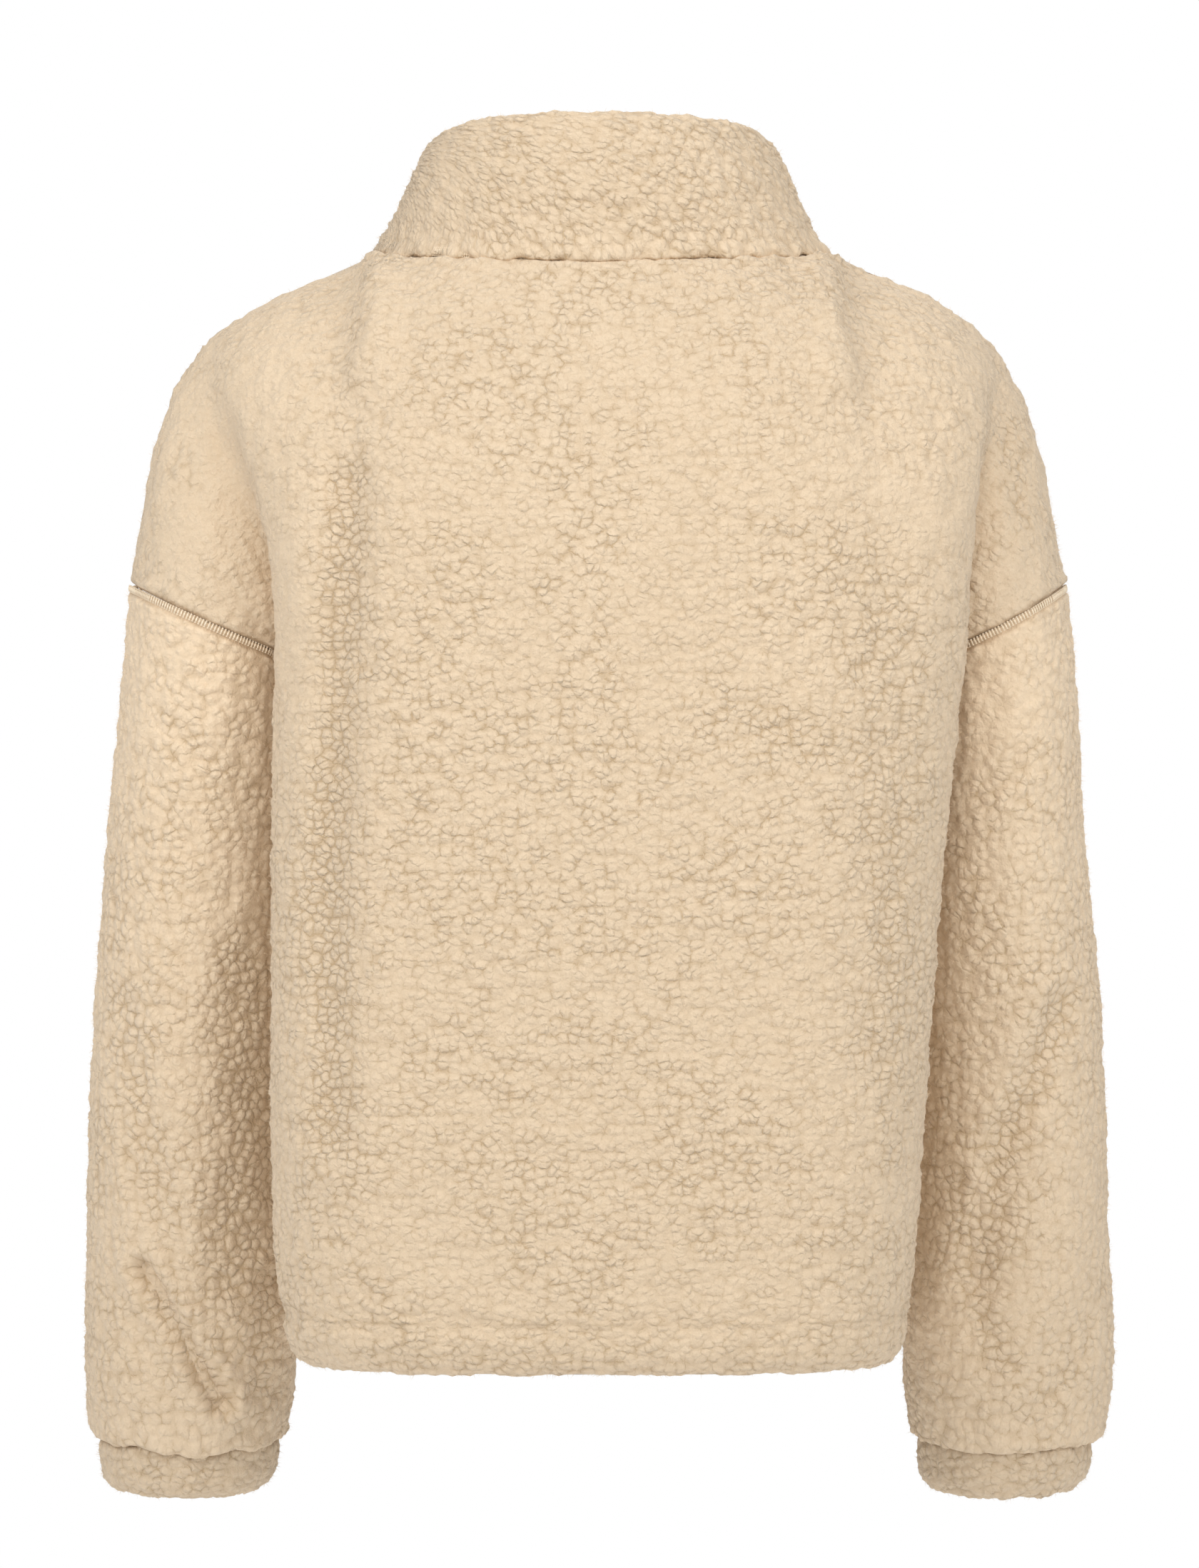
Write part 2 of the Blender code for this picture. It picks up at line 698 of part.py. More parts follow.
def part_of(line, low_z, high_z):
    """The stretch of the zip's line between two heights, with its ends cut there."""

    def at(z):
        for a, b in zip(line, line[1:]):
            if a.z <= z <= b.z:
                return a.lerp(b, (z - a.z) / (b.z - a.z))
        return line[0] if z < line[0].z else line[-1]

    return [at(low_z)] + [p for p in line if low_z + 3 < p.z < high_z - 3] + [at(high_z)]


def box(name, size, centre, look=None):
    """A box as a mesh object, its size and centre in millimetres."""
    bpy.ops.mesh.primitive_cube_add(size=1)
    thing = bpy.context.object
    thing.name = name
    thing.data.name = name
    shape = Matrix.Translation(Vector(centre) * MM) @ Matrix.Diagonal((*[s * MM for s in size], 1))
    thing.data.transform(shape)
    if look:
        thing.data.materials.append(look)
    return thing


def rod(name, radius, length, centre, look=None):
    """A round bar along X."""
    bpy.ops.mesh.primitive_cylinder_add(vertices=16, radius=radius * MM, depth=length * MM)
    thing = bpy.context.object
    thing.name = name
    turn = Matrix.Translation(Vector(centre) * MM) @ Matrix.Rotation(math.pi / 2, 4, "Y")
    thing.data.transform(turn)
    if look:
        thing.data.materials.append(look)
    return thing


def hard_piece(base, steps, group, helpers, frame):
    """Joins and cuts solids with Booleans and moves the lot to its place on the zip."""
    for how, others in steps:
        for other in others:
            step = base.modifiers.new(how.lower(), "BOOLEAN")
            step.operation = how
            step.object = other
            other.hide_render = True
            other.display_type = "WIRE"
            place(other, helpers, frame)
    place(base, group, frame)


def place(thing, group, frame):
    for owner in list(thing.users_collection):
        owner.objects.unlink(thing)
    group.objects.link(thing)
    thing.matrix_world = frame


def zip_frame(line, z):
    """The small frame at a height on the zip: its origin on the tips of the pile."""
    here = part_of(line, z, line[-1].z)[0]
    below = part_of(line, z - 8, line[-1].z)[0]
    above = part_of(line, z + 8, line[-1].z)[0]
    up = (above - below).normalized()
    out = Vector((0, up.z, -up.y))
    turn = Matrix(((1, 0, 0), (0, out.y, up.y), (0, out.z, up.z))).to_4x4()
    return Matrix.Translation(here * MM) @ turn


def build_slider(line, group, helpers, metal):
    """Two plates on a post, with the arch that traps the pull's bar."""
    plane = -TAPE_SINK
    top = plane + TAPE_THICK / 2 + 0.5
    base = box("zip_slider", (8.6, 1.2, 2 * SLIDER_HALF), (0, top + 0.6, 0), metal)
    parts = [
        box("slider_post", (3.4, 3.6, 5.0), (0, plane, 1.5)),
        box("slider_floor", (8.6, 1.1, 2 * SLIDER_HALF), (0, plane - TAPE_THICK / 2 - 1.05, 0)),
    ]
    arch_top = AXIS_OUT + BAR_RADIUS + 0.45
    for end in (-1, 1):
        foot = top + 0.8
        parts.append(
            box("slider_leg", (2.4, arch_top + 1.0 - foot, 1.3),
                (0, (arch_top + 1.0 + foot) / 2, end * 3.4))
        )
    parts.append(box("slider_arch", (2.4, 1.2, 8.1), (0, arch_top + 0.6, 0)))
    hard_piece(base, [("UNION", parts)], group, helpers, zip_frame(line, SLIDER_Z))


def build_pull(line, group, helpers, metal):
    """A flat tab with an eye whose bar lies under the slider's arch. Its origin is on the bar."""
    plate = box(
        "zip_pull", (PULL_WIDTH, PULL_THICK, PULL_LENGTH - 1.6),
        (0, 0, -(PULL_LENGTH + 1.6) / 2), metal
    )
    window = box("pull_window", (3.6, 6, EYE_REACH + 1.0), (0, 0, -(EYE_REACH + 1.0) / 2 + 1.0))
    arms = [
        box("pull_arm", (1.7, PULL_THICK, 2.6), (end * 2.65, 0, -1.0)) for end in (-1, 1)
    ]
    bar = rod("pull_bar", BAR_RADIUS, PULL_WIDTH - 0.4, (0, 0, 0))
    grip = box("pull_grip", (3.2, 6, 9), (0, 0, -PULL_LENGTH + 8.5))
    steps = [("DIFFERENCE", [window]), ("UNION", arms + [bar]), ("DIFFERENCE", [grip])]
    frame = zip_frame(line, SLIDER_Z) @ Matrix.Translation((0, AXIS_OUT * MM, 0))
    hard_piece(plate, steps, group, helpers, frame)


def build_zip(group, helpers):
    """Tapes, teeth, slider, pull and bottom box, from the hem to the collar's edge."""
    line = zip_line()
    tape = material("zip tape", (0.72, 0.60, 0.45), 0.8)
    teeth = material("zip teeth", (0.70, 0.58, 0.43), 0.45)
    metal = material("zip metal", (0.62, 0.60, 0.56), 0.35, 1.0)
    whole = part_of(line, line[0].z + 1, line[-1].z - 1)
    for word, side in SIDES.items():
        edges = sorted((side * TAPE_INNER, side * (ZIP_HALF_SLOT - 0.35)))
        strip("zip_tape_" + word, whole, *edges, TAPE_SINK, TAPE_THICK, group, tape)
    bottom = whole[0].z + 11.5
    chain = part_of(line, bottom, SLIDER_Z - SLIDER_HALF - 0.5)
    strip("zip_chain", chain, -CHAIN_HALF, CHAIN_HALF, TAPE_SINK, CHAIN_THICK, group, teeth)
    stop = box(
        "zip_box", (2 * CHAIN_HALF, 3.0, 10), (0, -TAPE_SINK, 0), metal
    )
    place(stop, group, zip_frame(line, bottom - 5.5))
    build_slider(line, group, helpers, metal)
    build_pull(line, group, helpers, metal)


def build_cloth(group):
    mesh, layer = whole_surface()
    press_folds(mesh)
    mesh.verts.index_update()
    for number, name in enumerate(PIECES):
        look = material("fleece " + name.replace("_", " "), PIECE_COLOURS[name], 0.95)
        cloth_wall(mesh, layer, number, name, group, look)
    mesh.free()


def main():
    clear_scene()
    jacket = collection("sherpa fleece jacket")
    helpers = collection("cutters")
    build_cloth(jacket)
    build_zip(jacket, helpers)


main()
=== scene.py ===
import math
import bmesh
import bpy
from mathutils import Matrix, Vector, kdtree, noise
from mathutils.bvhtree import BVHTree


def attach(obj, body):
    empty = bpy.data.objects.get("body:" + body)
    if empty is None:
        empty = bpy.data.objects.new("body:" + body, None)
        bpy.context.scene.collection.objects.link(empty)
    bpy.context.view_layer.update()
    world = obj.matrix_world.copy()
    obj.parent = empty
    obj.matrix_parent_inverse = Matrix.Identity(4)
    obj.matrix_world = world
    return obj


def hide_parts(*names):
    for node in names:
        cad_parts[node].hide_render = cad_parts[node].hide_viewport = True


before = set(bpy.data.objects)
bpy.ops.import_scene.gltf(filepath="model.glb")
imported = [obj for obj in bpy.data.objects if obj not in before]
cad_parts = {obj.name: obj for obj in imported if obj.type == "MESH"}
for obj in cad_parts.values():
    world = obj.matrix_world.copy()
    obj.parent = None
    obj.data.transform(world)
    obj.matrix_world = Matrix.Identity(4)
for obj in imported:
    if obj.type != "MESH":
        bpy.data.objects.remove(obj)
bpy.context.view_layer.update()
mm = 0.001
print("frame loaded")


def added(name, data):
    piece = bpy.data.objects.new(name, data)
    bpy.context.scene.collection.objects.link(piece)
    return piece


def meshData(mesh, name):
    data = bpy.data.meshes.new(name)
    mesh.to_mesh(data)
    mesh.free()
    return data


def triangles(data):
    return sum(len(p.vertices) - 2 for p in data.polygons)


def newMaterial(name):
    made = bpy.data.materials.new(name)
    made.use_nodes = True
    return made, made.node_tree, made.node_tree.nodes["Principled BSDF"]


def node(tree, kind, inputs=None, **settings):
    made = tree.nodes.new(kind)
    for name, value in settings.items():
        setattr(made, name, value)
    for name, value in (inputs or {}).items():
        socket = made.inputs[name]
        if isinstance(value, bpy.types.NodeSocket):
            tree.links.new(value, socket)
        else:
            socket.default_value = value
    return made


def maths(tree, operation, first, second=0.0, clamp=False):
    made = node(tree, "ShaderNodeMath", {0: first, 1: second}, operation=operation, use_clamp=clamp)
    return made.outputs[0]


def product(tree, first, second):
    return maths(tree, "MULTIPLY", first, second)


def mixed(tree, factor, first, second):
    made = node(tree, "ShaderNodeMix", {"Factor": factor, "A": first, "B": second}, data_type="RGBA")
    return made.outputs["Result"]


def ramp(tree, value, fromLow, fromHigh, toLow=0.0, toHigh=1.0, soft=True):
    return node(
        tree, "ShaderNodeMapRange",
        {"Value": value, "From Min": fromLow, "From Max": fromHigh, "To Min": toLow, "To Max": toHigh},
        interpolation_type="SMOOTHSTEP" if soft else "LINEAR"
    ).outputs["Result"]


def scaled(tree, place, sizes):
    # places are in mm, on the cloth's own map
    return node(
        tree, "ShaderNodeVectorMath", {0: place, 1: [1 / s for s in sizes]}, operation="MULTIPLY"
    ).outputs[0]


def noiseOf(tree, place, size, detail=2.0, rough=0.5, tall=1.0):
    spot = scaled(tree, place, (size, size * tall, size))
    return node(
        tree, "ShaderNodeTexNoise", {"Vector": spot, "Scale": 1.0, "Detail": detail, "Roughness": rough},
        noise_dimensions="2D"
    )


def cellsOf(tree, place, feature):
    return node(
        tree, "ShaderNodeTexVoronoi", {"Vector": place, "Scale": 1.0, "Randomness": 0.85},
        feature=feature, voronoi_dimensions="2D"
    )


def shifted(tree, place, size, reach):
    # the same place pushed about by soft noise, so that no cell is regular
    colour = noiseOf(tree, place, size, 1.0).outputs["Color"]
    centred = node(
        tree, "ShaderNodeVectorMath", {0: colour, 1: (-0.5, -0.5, -0.5)}, operation="ADD"
    ).outputs[0]
    push = node(tree, "ShaderNodeVectorMath", {0: centred, 3: reach}, operation="SCALE").outputs[0]
    return node(tree, "ShaderNodeVectorMath", {0: place, 1: push}, operation="ADD").outputs[0]


# the pile's curls, the same in the mesh and in the material
curls = {
    "wide": 5.9, "tall": 4.8,                       # mm, one curl
    "small": 0.6,                                   # the lesser curls, as a share of that
    "relief": 1.2, "bump": 0.95, "swell": 1.3,      # mm, in the mesh, in the material, over many curls
    "warps": ((13.0, 4.0), (3.0, 1.5), (1.1, 0.75)),  # mm, size and reach of the noise that bends them
    "round": 0.22,                                  # how far one curl's dome runs into the next
}


def curlNodes(tree, place, fold):
    bent = place
    for size, reach in curls["warps"]:
        bent = shifted(tree, bent, size, reach)
    big = scaled(tree, bent, (curls["wide"], curls["tall"], 1.0))
    small = scaled(tree, bent, (curls["wide"] * curls["small"], curls["tall"] * curls["small"], 1.0))
    first = cellsOf(tree, big, "SMOOTH_F1")
    first.inputs["Smoothness"].default_value = curls["round"]
    tone = node(tree, "ShaderNodeSeparateXYZ", {0: first.outputs["Color"]}).outputs[0]
    # curls run into each other here and there, and stand apart in the folds; in the material this also sets
    # how much painted shade their crevices get
    depth = ramp(tree, noiseOf(tree, place, 11.0, 2.0, 0.6, 0.7).outputs[0], 0.36, 0.62, 0.22, 1.0)
    broad = ramp(tree, noiseOf(tree, place, 70.0, 1.0).outputs[0], 0.35, 0.6, 0.55, 1.0)
    apart = maths(tree, "ADD", product(tree, depth, broad), fold, clamp=True)
    crowd = ramp(tree, noiseOf(tree, place, 24.0, 1.0).outputs[0], 0.4, 0.62, 0.15, 0.5)
    return {
        "edge": cellsOf(tree, big, "DISTANCE_TO_EDGE").outputs["Distance"],
        "middle": first.outputs["Distance"], "tone": tone,
        "middleSmall": cellsOf(tree, small, "F1").outputs["Distance"],
        "open": ramp(tree, apart, 0.0, 1.0, 0.08, 1.0, soft=False),
        "tight": maths(tree, "ADD", crowd, fold, clamp=True),
    }


def curlHeight(tree, parts, sharp, relief):
    # height of the pile over the cloth in mm, from round curls and the narrow crevices between them
    dome = ramp(tree, parts["middle"], 0.0, 0.62, 1.0, 0.0)
    lesser = product(tree, ramp(tree, parts["middleSmall"], 0.05, 0.8, 1.0, 0.0), parts["tight"])
    crevice = product(tree, ramp(tree, parts["edge"], 0.0, 0.2, sharp, 0.0), parts["open"])
    high = product(tree, dome, ramp(tree, parts["open"], 0.0, 1.0, 0.5, 1.0, soft=False))
    high = product(tree, high, ramp(tree, parts["tone"], 0.0, 1.0, 0.75, 1.1, soft=False))
    height = maths(tree, "SUBTRACT", maths(tree, "ADD", high, product(tree, lesser, 0.45)), crevice)
    return product(tree, height, relief)


def geometryTree(name):
    tree = bpy.data.node_groups.new(name, "GeometryNodeTree")
    for side in ("INPUT", "OUTPUT"):
        tree.interface.new_socket("Geometry", in_out=side, socket_type="NodeSocketGeometry")
    return tree, node(tree, "NodeGroupInput")


def stored(tree, name, kind="FLOAT"):
    return node(tree, "GeometryNodeInputNamedAttribute", {"Name": name}, data_type=kind).outputs[0]


def reliefGroup():
    tree, entry = geometryTree("pile relief")
    place = stored(tree, "clothMap", "FLOAT_VECTOR")
    stand = stored(tree, "stand")
    lift = stored(tree, "lift")
    normal = stored(tree, "outward", "FLOAT_VECTOR")
    fold = stored(tree, "fold")
    half = curls["swell"] / 2
    swell = ramp(tree, noiseOf(tree, place, 14.0, 1.5).outputs[0], 0.3, 0.7, -half, half)
    curl = maths(tree, "ADD", curlHeight(tree, curlNodes(tree, place, fold), 0.0, curls["relief"]), swell)
    height = maths(tree, "ADD", product(tree, curl, stand), lift)
    offset = node(
        tree, "ShaderNodeVectorMath", {0: normal, 3: product(tree, height, mm)}, operation="SCALE"
    ).outputs[0]
    moved = node(tree, "GeometryNodeSetPosition", {"Geometry": entry.outputs[0], "Offset": offset})
    leave = node(tree, "NodeGroupOutput")
    tree.links.new(moved.outputs[0], leave.inputs[0])
    return tree


relief = reliefGroup()

fibre = {
    "long": 2.6, "wide": 0.16,                     # mm
    "perSquareMetre": 90000.0, "lean": 1.0, "sizes": (0.5, 1.4), "seed": 7,
}


def scatterGroup():
    # single loose fibres that stand off the pile and make its outline soft
    mesh = bmesh.new()
    bmesh.ops.create_circle(mesh, cap_ends=True, segments=3, radius=1.0)
    bmesh.ops.translate(mesh, verts=mesh.verts, vec=(0, 0.5, 0))
    shape = Matrix.Diagonal((fibre["wide"] / 1.73 * mm, fibre["long"] / 1.5 * mm, 1.0, 1.0))
    bmesh.ops.transform(mesh, matrix=Matrix.Rotation(math.pi / 2, 4, "X") @ shape, verts=mesh.verts)
    single = bpy.data.objects.new("one fibre", meshData(mesh, "one fibre"))
    tree, entry = geometryTree("pile fibres")
    index = node(tree, "GeometryNodeInputMaterialIndex").outputs[0]
    pile = node(tree, "ShaderNodeMath", {0: index, 1: 0.5}, operation="LESS_THAN").outputs[0]
    spread = node(
        tree, "GeometryNodeDistributePointsOnFaces",
        {
            "Mesh": entry.outputs[0], "Selection": pile,
            "Density": fibre["perSquareMetre"], "Seed": fibre["seed"],
        },
        distribute_method="RANDOM"
    )
    most = fibre["lean"]
    lean = node(
        tree, "FunctionNodeRandomValue", {0: (-most, -most, 0.0), 1: (most, most, 6.28)},
        data_type="FLOAT_VECTOR"
    ).outputs[0]
    turned = node(
        tree, "FunctionNodeRotateRotation",
        {"Rotation": spread.outputs["Rotation"], "Rotate By": lean}, rotation_space="LOCAL"
    ).outputs[0]
    least, largest = fibre["sizes"]
    size = node(tree, "FunctionNodeRandomValue", {2: least, 3: largest}, data_type="FLOAT").outputs[1]
    source = node(tree, "GeometryNodeObjectInfo", {"Object": single}).outputs["Geometry"]
    placed = node(
        tree, "GeometryNodeInstanceOnPoints",
        {"Points": spread.outputs["Points"], "Instance": source, "Rotation": turned, "Scale": size}
    )
    made = node(tree, "GeometryNodeRealizeInstances", {0: placed.outputs[0]})
    leave = node(tree, "NodeGroupOutput")
    tree.links.new(made.outputs[0], leave.inputs[0])
    return tree


scatter = scatterGroup()


# top is the pile's own colour; hollow and crease are painted shade, for the crevices between curls and the
# seam valleys
fleece = {
    "top": (0.80, 0.64, 0.458), "hollow": (0.53, 0.385, 0.235), "crease": (0.50, 0.365, 0.225),
    "backing": (0.76, 0.62, 0.45), "backingLoopShade": (0.55, 0.42, 0.27),
}


def shadeLowDown(tree, low):
    # painted shade: the colour is painted darker towards the hem and cuffs
    place = node(tree, "ShaderNodeTexCoord").outputs["Object"]
    height = node(tree, "ShaderNodeSeparateXYZ", {0: place}).outputs["Z"]
    return ramp(tree, height, -0.62, -0.2, low, 1.0, soft=False)


def fibreMaterial(name, tint, low):
    made, tree, shader = newMaterial(name)
    colour = [c * tint * 1.04 for c in fleece["top"]]
    # painted shade, darker lower down
    dulled = node(tree, "ShaderNodeVectorMath", {0: colour, 3: shadeLowDown(tree, low)}, operation="SCALE")
    tree.links.new(dulled.outputs[0], shader.inputs["Base Color"])
    place = node(tree, "ShaderNodeTexCoord").outputs["Object"]
    grain = node(tree, "ShaderNodeTexNoise", {"Vector": place, "Scale": 900.0, "Detail": 1.0}).outputs[0]
    tree.links.new(ramp(tree, grain, 0.3, 0.7, 0.7, 0.95), shader.inputs["Roughness"])
    shader.inputs["Specular IOR Level"].default_value = 0.2
    shader.inputs["Sheen Weight"].default_value = 0.4
    return made


def fleeceMaterial(name, tint, low):
    made, tree, shader = newMaterial(name)
    place = node(tree, "ShaderNodeUVMap", uv_map="clothMap").outputs[0]
    fold = node(tree, "ShaderNodeAttribute", attribute_name="fold").outputs["Fac"]
    parts = curlNodes(tree, place, fold)
    # painted shade: the crevices between curls and the sides of each curl are painted towards the hollow
    # colour, more in folds
    broken = ramp(tree, noiseOf(tree, place, 3.4, 1.0).outputs[0], 0.4, 0.58, 0.12, 1.0)
    broken = maths(tree, "ADD", broken, fold, clamp=True)
    line = product(tree, ramp(tree, parts["edge"], 0.0, 0.1, 0.75, 0.0), broken)
    corner = ramp(tree, parts["middle"], 0.3, 0.62, 0.0, 0.6)
    crevice = product(tree, maths(tree, "ADD", line, corner), parts["open"])
    broad = noiseOf(tree, place, 60.0, 2.0).outputs[0]
    fibres = noiseOf(tree, place, 0.8, 3.0, 0.7).outputs[0]
    shade = ramp(tree, crevice, 0.0, 1.0, 1.0, 0.0, soft=False)
    shade = product(tree, shade, ramp(tree, broad, 0.3, 0.7, 0.94, 1.0))
    tuft = noiseOf(tree, place, 2.1, 1.0).outputs[0]
    shade = product(tree, shade, ramp(tree, fibres, 0.3, 0.7, 0.84, 1.0))
    shade = product(tree, shade, ramp(tree, tuft, 0.34, 0.66, 0.9, 1.0))
    shade = product(tree, shade, ramp(tree, parts["tone"], 0.0, 1.0, 0.92, 1.0))
    hollow, top, crease = ((*[c * tint for c in fleece[key]], 1) for key in ("hollow", "top", "crease"))
    seamShade = node(tree, "ShaderNodeAttribute", attribute_name="seamShade").outputs["Fac"]
    # painted shade: the seam valleys are painted towards the crease colour, the crevices towards the hollow
    # colour
    colour = mixed(tree, seamShade, mixed(tree, shade, hollow, top), crease)
    # painted shade, darker lower down
    colour = node(tree, "ShaderNodeVectorMath", {0: colour, 3: shadeLowDown(tree, low)}, operation="SCALE")
    tree.links.new(colour.outputs[0], shader.inputs["Base Color"])
    height = curlHeight(tree, parts, 0.35, curls["bump"])
    fluff = maths(tree, "ADD", product(tree, fibres, 0.3), product(tree, tuft, 0.5))
    bump = node(
        tree, "ShaderNodeBump",
        {"Height": maths(tree, "ADD", height, fluff), "Strength": 1.0, "Distance": mm}
    )
    tree.links.new(bump.outputs[0], shader.inputs["Normal"])
    shader.inputs["Roughness"].default_value = 0.95
    shader.inputs["Specular IOR Level"].default_value = 0.12
    shader.inputs["Sheen Weight"].default_value = 0.35
    shader.inputs["Sheen Roughness"].default_value = 0.55
    shader.inputs["Sheen Tint"].default_value = (1.0, 0.93, 0.83, 1)
    return made


def backingMaterial(name):
    # the smooth knit inside of the fleece
    made, tree, shader = newMaterial(name)
    place = node(tree, "ShaderNodeUVMap", uv_map="clothMap").outputs[0]
    loops = cellsOf(tree, scaled(tree, place, (1.3, 1.0, 1.0)), "F1")
    loops.inputs["Randomness"].default_value = 0.35
    rows = loops.outputs["Distance"]
    # painted shade: darker between the knit's loops
    tone = ramp(tree, rows, 0.1, 0.7, 1.0, 0.82)
    colour = mixed(tree, tone, (*fleece["backingLoopShade"], 1), (*fleece["backing"], 1))
    tree.links.new(colour, shader.inputs["Base Color"])
    bump = node(tree, "ShaderNodeBump", {"Height": rows, "Strength": 0.5, "Distance": -0.4 * mm})
    tree.links.new(bump.outputs[0], shader.inputs["Normal"])
    shader.inputs["Roughness"].default_value = 0.9
    shader.inputs["Specular IOR Level"].default_value = 0.15
    return made


tints = {  # by slot, how light the pile is and how much painted shade darkens it lower down
    # painted light: the sleeves carry the body's fleece painted lighter, to lift their shaded sides
    "fleece_body": (1.0, 0.93), "fleece_sleeve": (1.12, 0.82),
    "fleece_cuff": (0.86, 1.0), "fleece_collar": (1.0, 1.0),
}
piles = {slot: fleeceMaterial(slot + " pile", *tint) for slot, tint in tints.items()}
fibres = {slot: fibreMaterial(slot + " fibres", *tint) for slot, tint in tints.items()}
knitBacking = backingMaterial("knit backing")
print("materials made")


outside, inside, rim, seamRim = 0, 1, 2, 3
sheets = {  # slot, cut in m, its area in m2, how finely the mesh is cut, and how large the curls are
    "back": {"slot": "fleece_body", "flat": (0.560, 0.640), "area": 0.330, "cuts": 2, "long": 23},
    "front_left": {"slot": "fleece_body", "flat": (0.290, 0.620), "area": 0.140, "cuts": 2, "long": 17},
    "front_right": {"slot": "fleece_body", "flat": (0.290, 0.620), "area": 0.140, "cuts": 2, "long": 17},
    "sleeve_left": {
        "slot": "fleece_sleeve", "flat": (0.360, 0.500), "area": 0.172, "cuts": 4, "long": 30,
        "curl": (0.9, 0.84),
    },
    "sleeve_right": {
        "slot": "fleece_sleeve", "flat": (0.360, 0.500), "area": 0.172, "cuts": 4, "long": 30,
        "curl": (0.9, 0.84),
    },
    "cuff_left": {"slot": "fleece_cuff", "flat": (0.220, 0.060), "area": 0.0107, "cuts": 3, "long": 30},
    "cuff_right": {"slot": "fleece_cuff", "flat": (0.220, 0.060), "area": 0.0107, "cuts": 3, "long": 30},
    "collar": {
        "slot": "fleece_collar", "flat": (0.560, 0.180), "area": 0.0475, "cuts": 4, "long": 24,
        "curl": (0.92, 1.12),
    },
}
sewn = 1.2 * mm            # pieces nearer to each other than this are sewn there
sleeveAxis = (0.224, 0.05)


def axisPoint(name, place):
    if name.startswith(("sleeve", "cuff")):
        return Vector((math.copysign(sleeveAxis[0], place.x), sleeveAxis[1], place.z))
    return Vector((0.4 * place.x, 0.01, place.z if name == "collar" else min(place.z, -0.06)))


def labelled(name):
    # a merged copy of the node's mesh in four-sided faces, each known as outside, inside or rim
    mesh = bmesh.new()
    mesh.from_mesh(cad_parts[name].data)
    bmesh.ops.remove_doubles(mesh, verts=mesh.verts, dist=0.02 * mm)
    bmesh.ops.join_triangles(
        mesh, faces=mesh.faces, angle_face_threshold=math.radians(50), angle_shape_threshold=math.radians(60)
    )
    mesh.normal_update()
    groups, seen = [], set()
    for first in mesh.faces:
        if first in seen:
            continue
        seen.add(first)
        group, waiting = [], [first]
        while waiting:
            face = waiting.pop()
            group.append(face)
            for edge in face.edges:
                if edge.calc_face_angle() < math.radians(60):
                    for other in edge.link_faces:
                        if other not in seen:
                            seen.add(other)
                            waiting.append(other)
        size, turn = 0.0, 0.0
        for face in group:
            middle = face.calc_center_median()
            size += face.calc_area()
            turn += math.copysign(face.calc_area(), face.normal.dot(middle - axisPoint(name, middle)))
        groups.append((size, turn / size, group))
    for face in mesh.faces:
        face.material_index = outside
        face.smooth = True
    best = max((g for g in groups if g[1] < -0.5), key=lambda g: g[0])
    for face in best[2]:
        face.material_index = inside
    for face in mesh.faces:
        near = {f.material_index for v in face.verts for f in v.link_faces}
        if face.material_index != inside and inside in near:
            face.material_index = rim
    return mesh


def outerVerts(name):
    return [v for v in shells[name].verts if all(f.material_index != inside for f in v.link_faces)]


def treeOf(points):
    tree = kdtree.KDTree(max(len(points), 1))
    for number, point in enumerate(points):
        tree.insert(point, number)
    tree.balance()
    return tree


shells = {name: labelled(name) for name in sheets}
outers = {name: treeOf([v.co for v in outerVerts(name)]) for name in sheets}


def seamBetween(first, second):
    points = []
    near = {v for v in outerVerts(first) if outers[second].find(v.co)[2] < sewn}
    for edge in {e for v in near for e in v.link_edges if e.other_vert(v) in near}:
        ends = [v.co for v in edge.verts]
        steps = max(2, int((ends[1] - ends[0]).length / (1.5 * mm)))
        points += [ends[0].lerp(ends[1], i / steps) for i in range(steps + 1)]
    return points


def holdSeams(name):
    # sewn edges stay where they are, and the cut edges between them are no pile
    mesh = shells[name]
    crease = mesh.edges.layers.float.new("crease_edge")
    near = {
        v for v in outerVerts(name)
        if any(outers[other].find(v.co)[2] < sewn for other in sheets if other != name)
    }
    for edge in mesh.edges:
        rims = [f for f in edge.link_faces if f.material_index == rim]
        if rims and all(v in near for v in edge.verts):
            edge[crease] = 1.0
            for face in rims:
                face.material_index = seamRim


sewnTo = {
    "armhole": [("sleeve_" + s, body) for s in ("left", "right") for body in ("back", "front_" + s)],
    "collar": [(body, "collar") for body in ("back", "front_left", "front_right")],
    "cuff": [("sleeve_" + s, "cuff_" + s) for s in ("left", "right")],
    "side": [("front_" + s, "back") for s in ("left", "right")],
}
seams = {name: [p for pair in pairs for p in seamBetween(*pair)] for name, pairs in sewnTo.items()}
seamTrees = {name: treeOf(points) for name, points in seams.items()}
for name in sheets:
    holdSeams(name)
print("seams found", {name: len(points) for name, points in seams.items()})

valleys = {  # mm: half width of the bare bottom, reach, depth, how far the pile puffs beside it, how uneven
    "armhole": (3.3, 5.6, 1.3, 0.8, 0.1),
    "collar": (0.1, 4.0, 1.6, 1.6, 0.7),
    "cuff": (0.3, 5.0, 1.6, 1.2, 0.2),
    "side": (0.2, 4.5, 1.6, 0.5, 0.4),
    "hem": (0.1, 6.0, -1.3, 0.5, 0.9),
}
aboveLadder = (0.3, 3.0, 1.5, 1.4)
# how strongly each seam's valley is painted darker: painted shade
darkest = {"armhole": 0.7, "ladder": 0.1, "collar": 0.3, "cuff": 0.6, "side": 0.3, "hem": 0.3}
hemLine = -0.5716
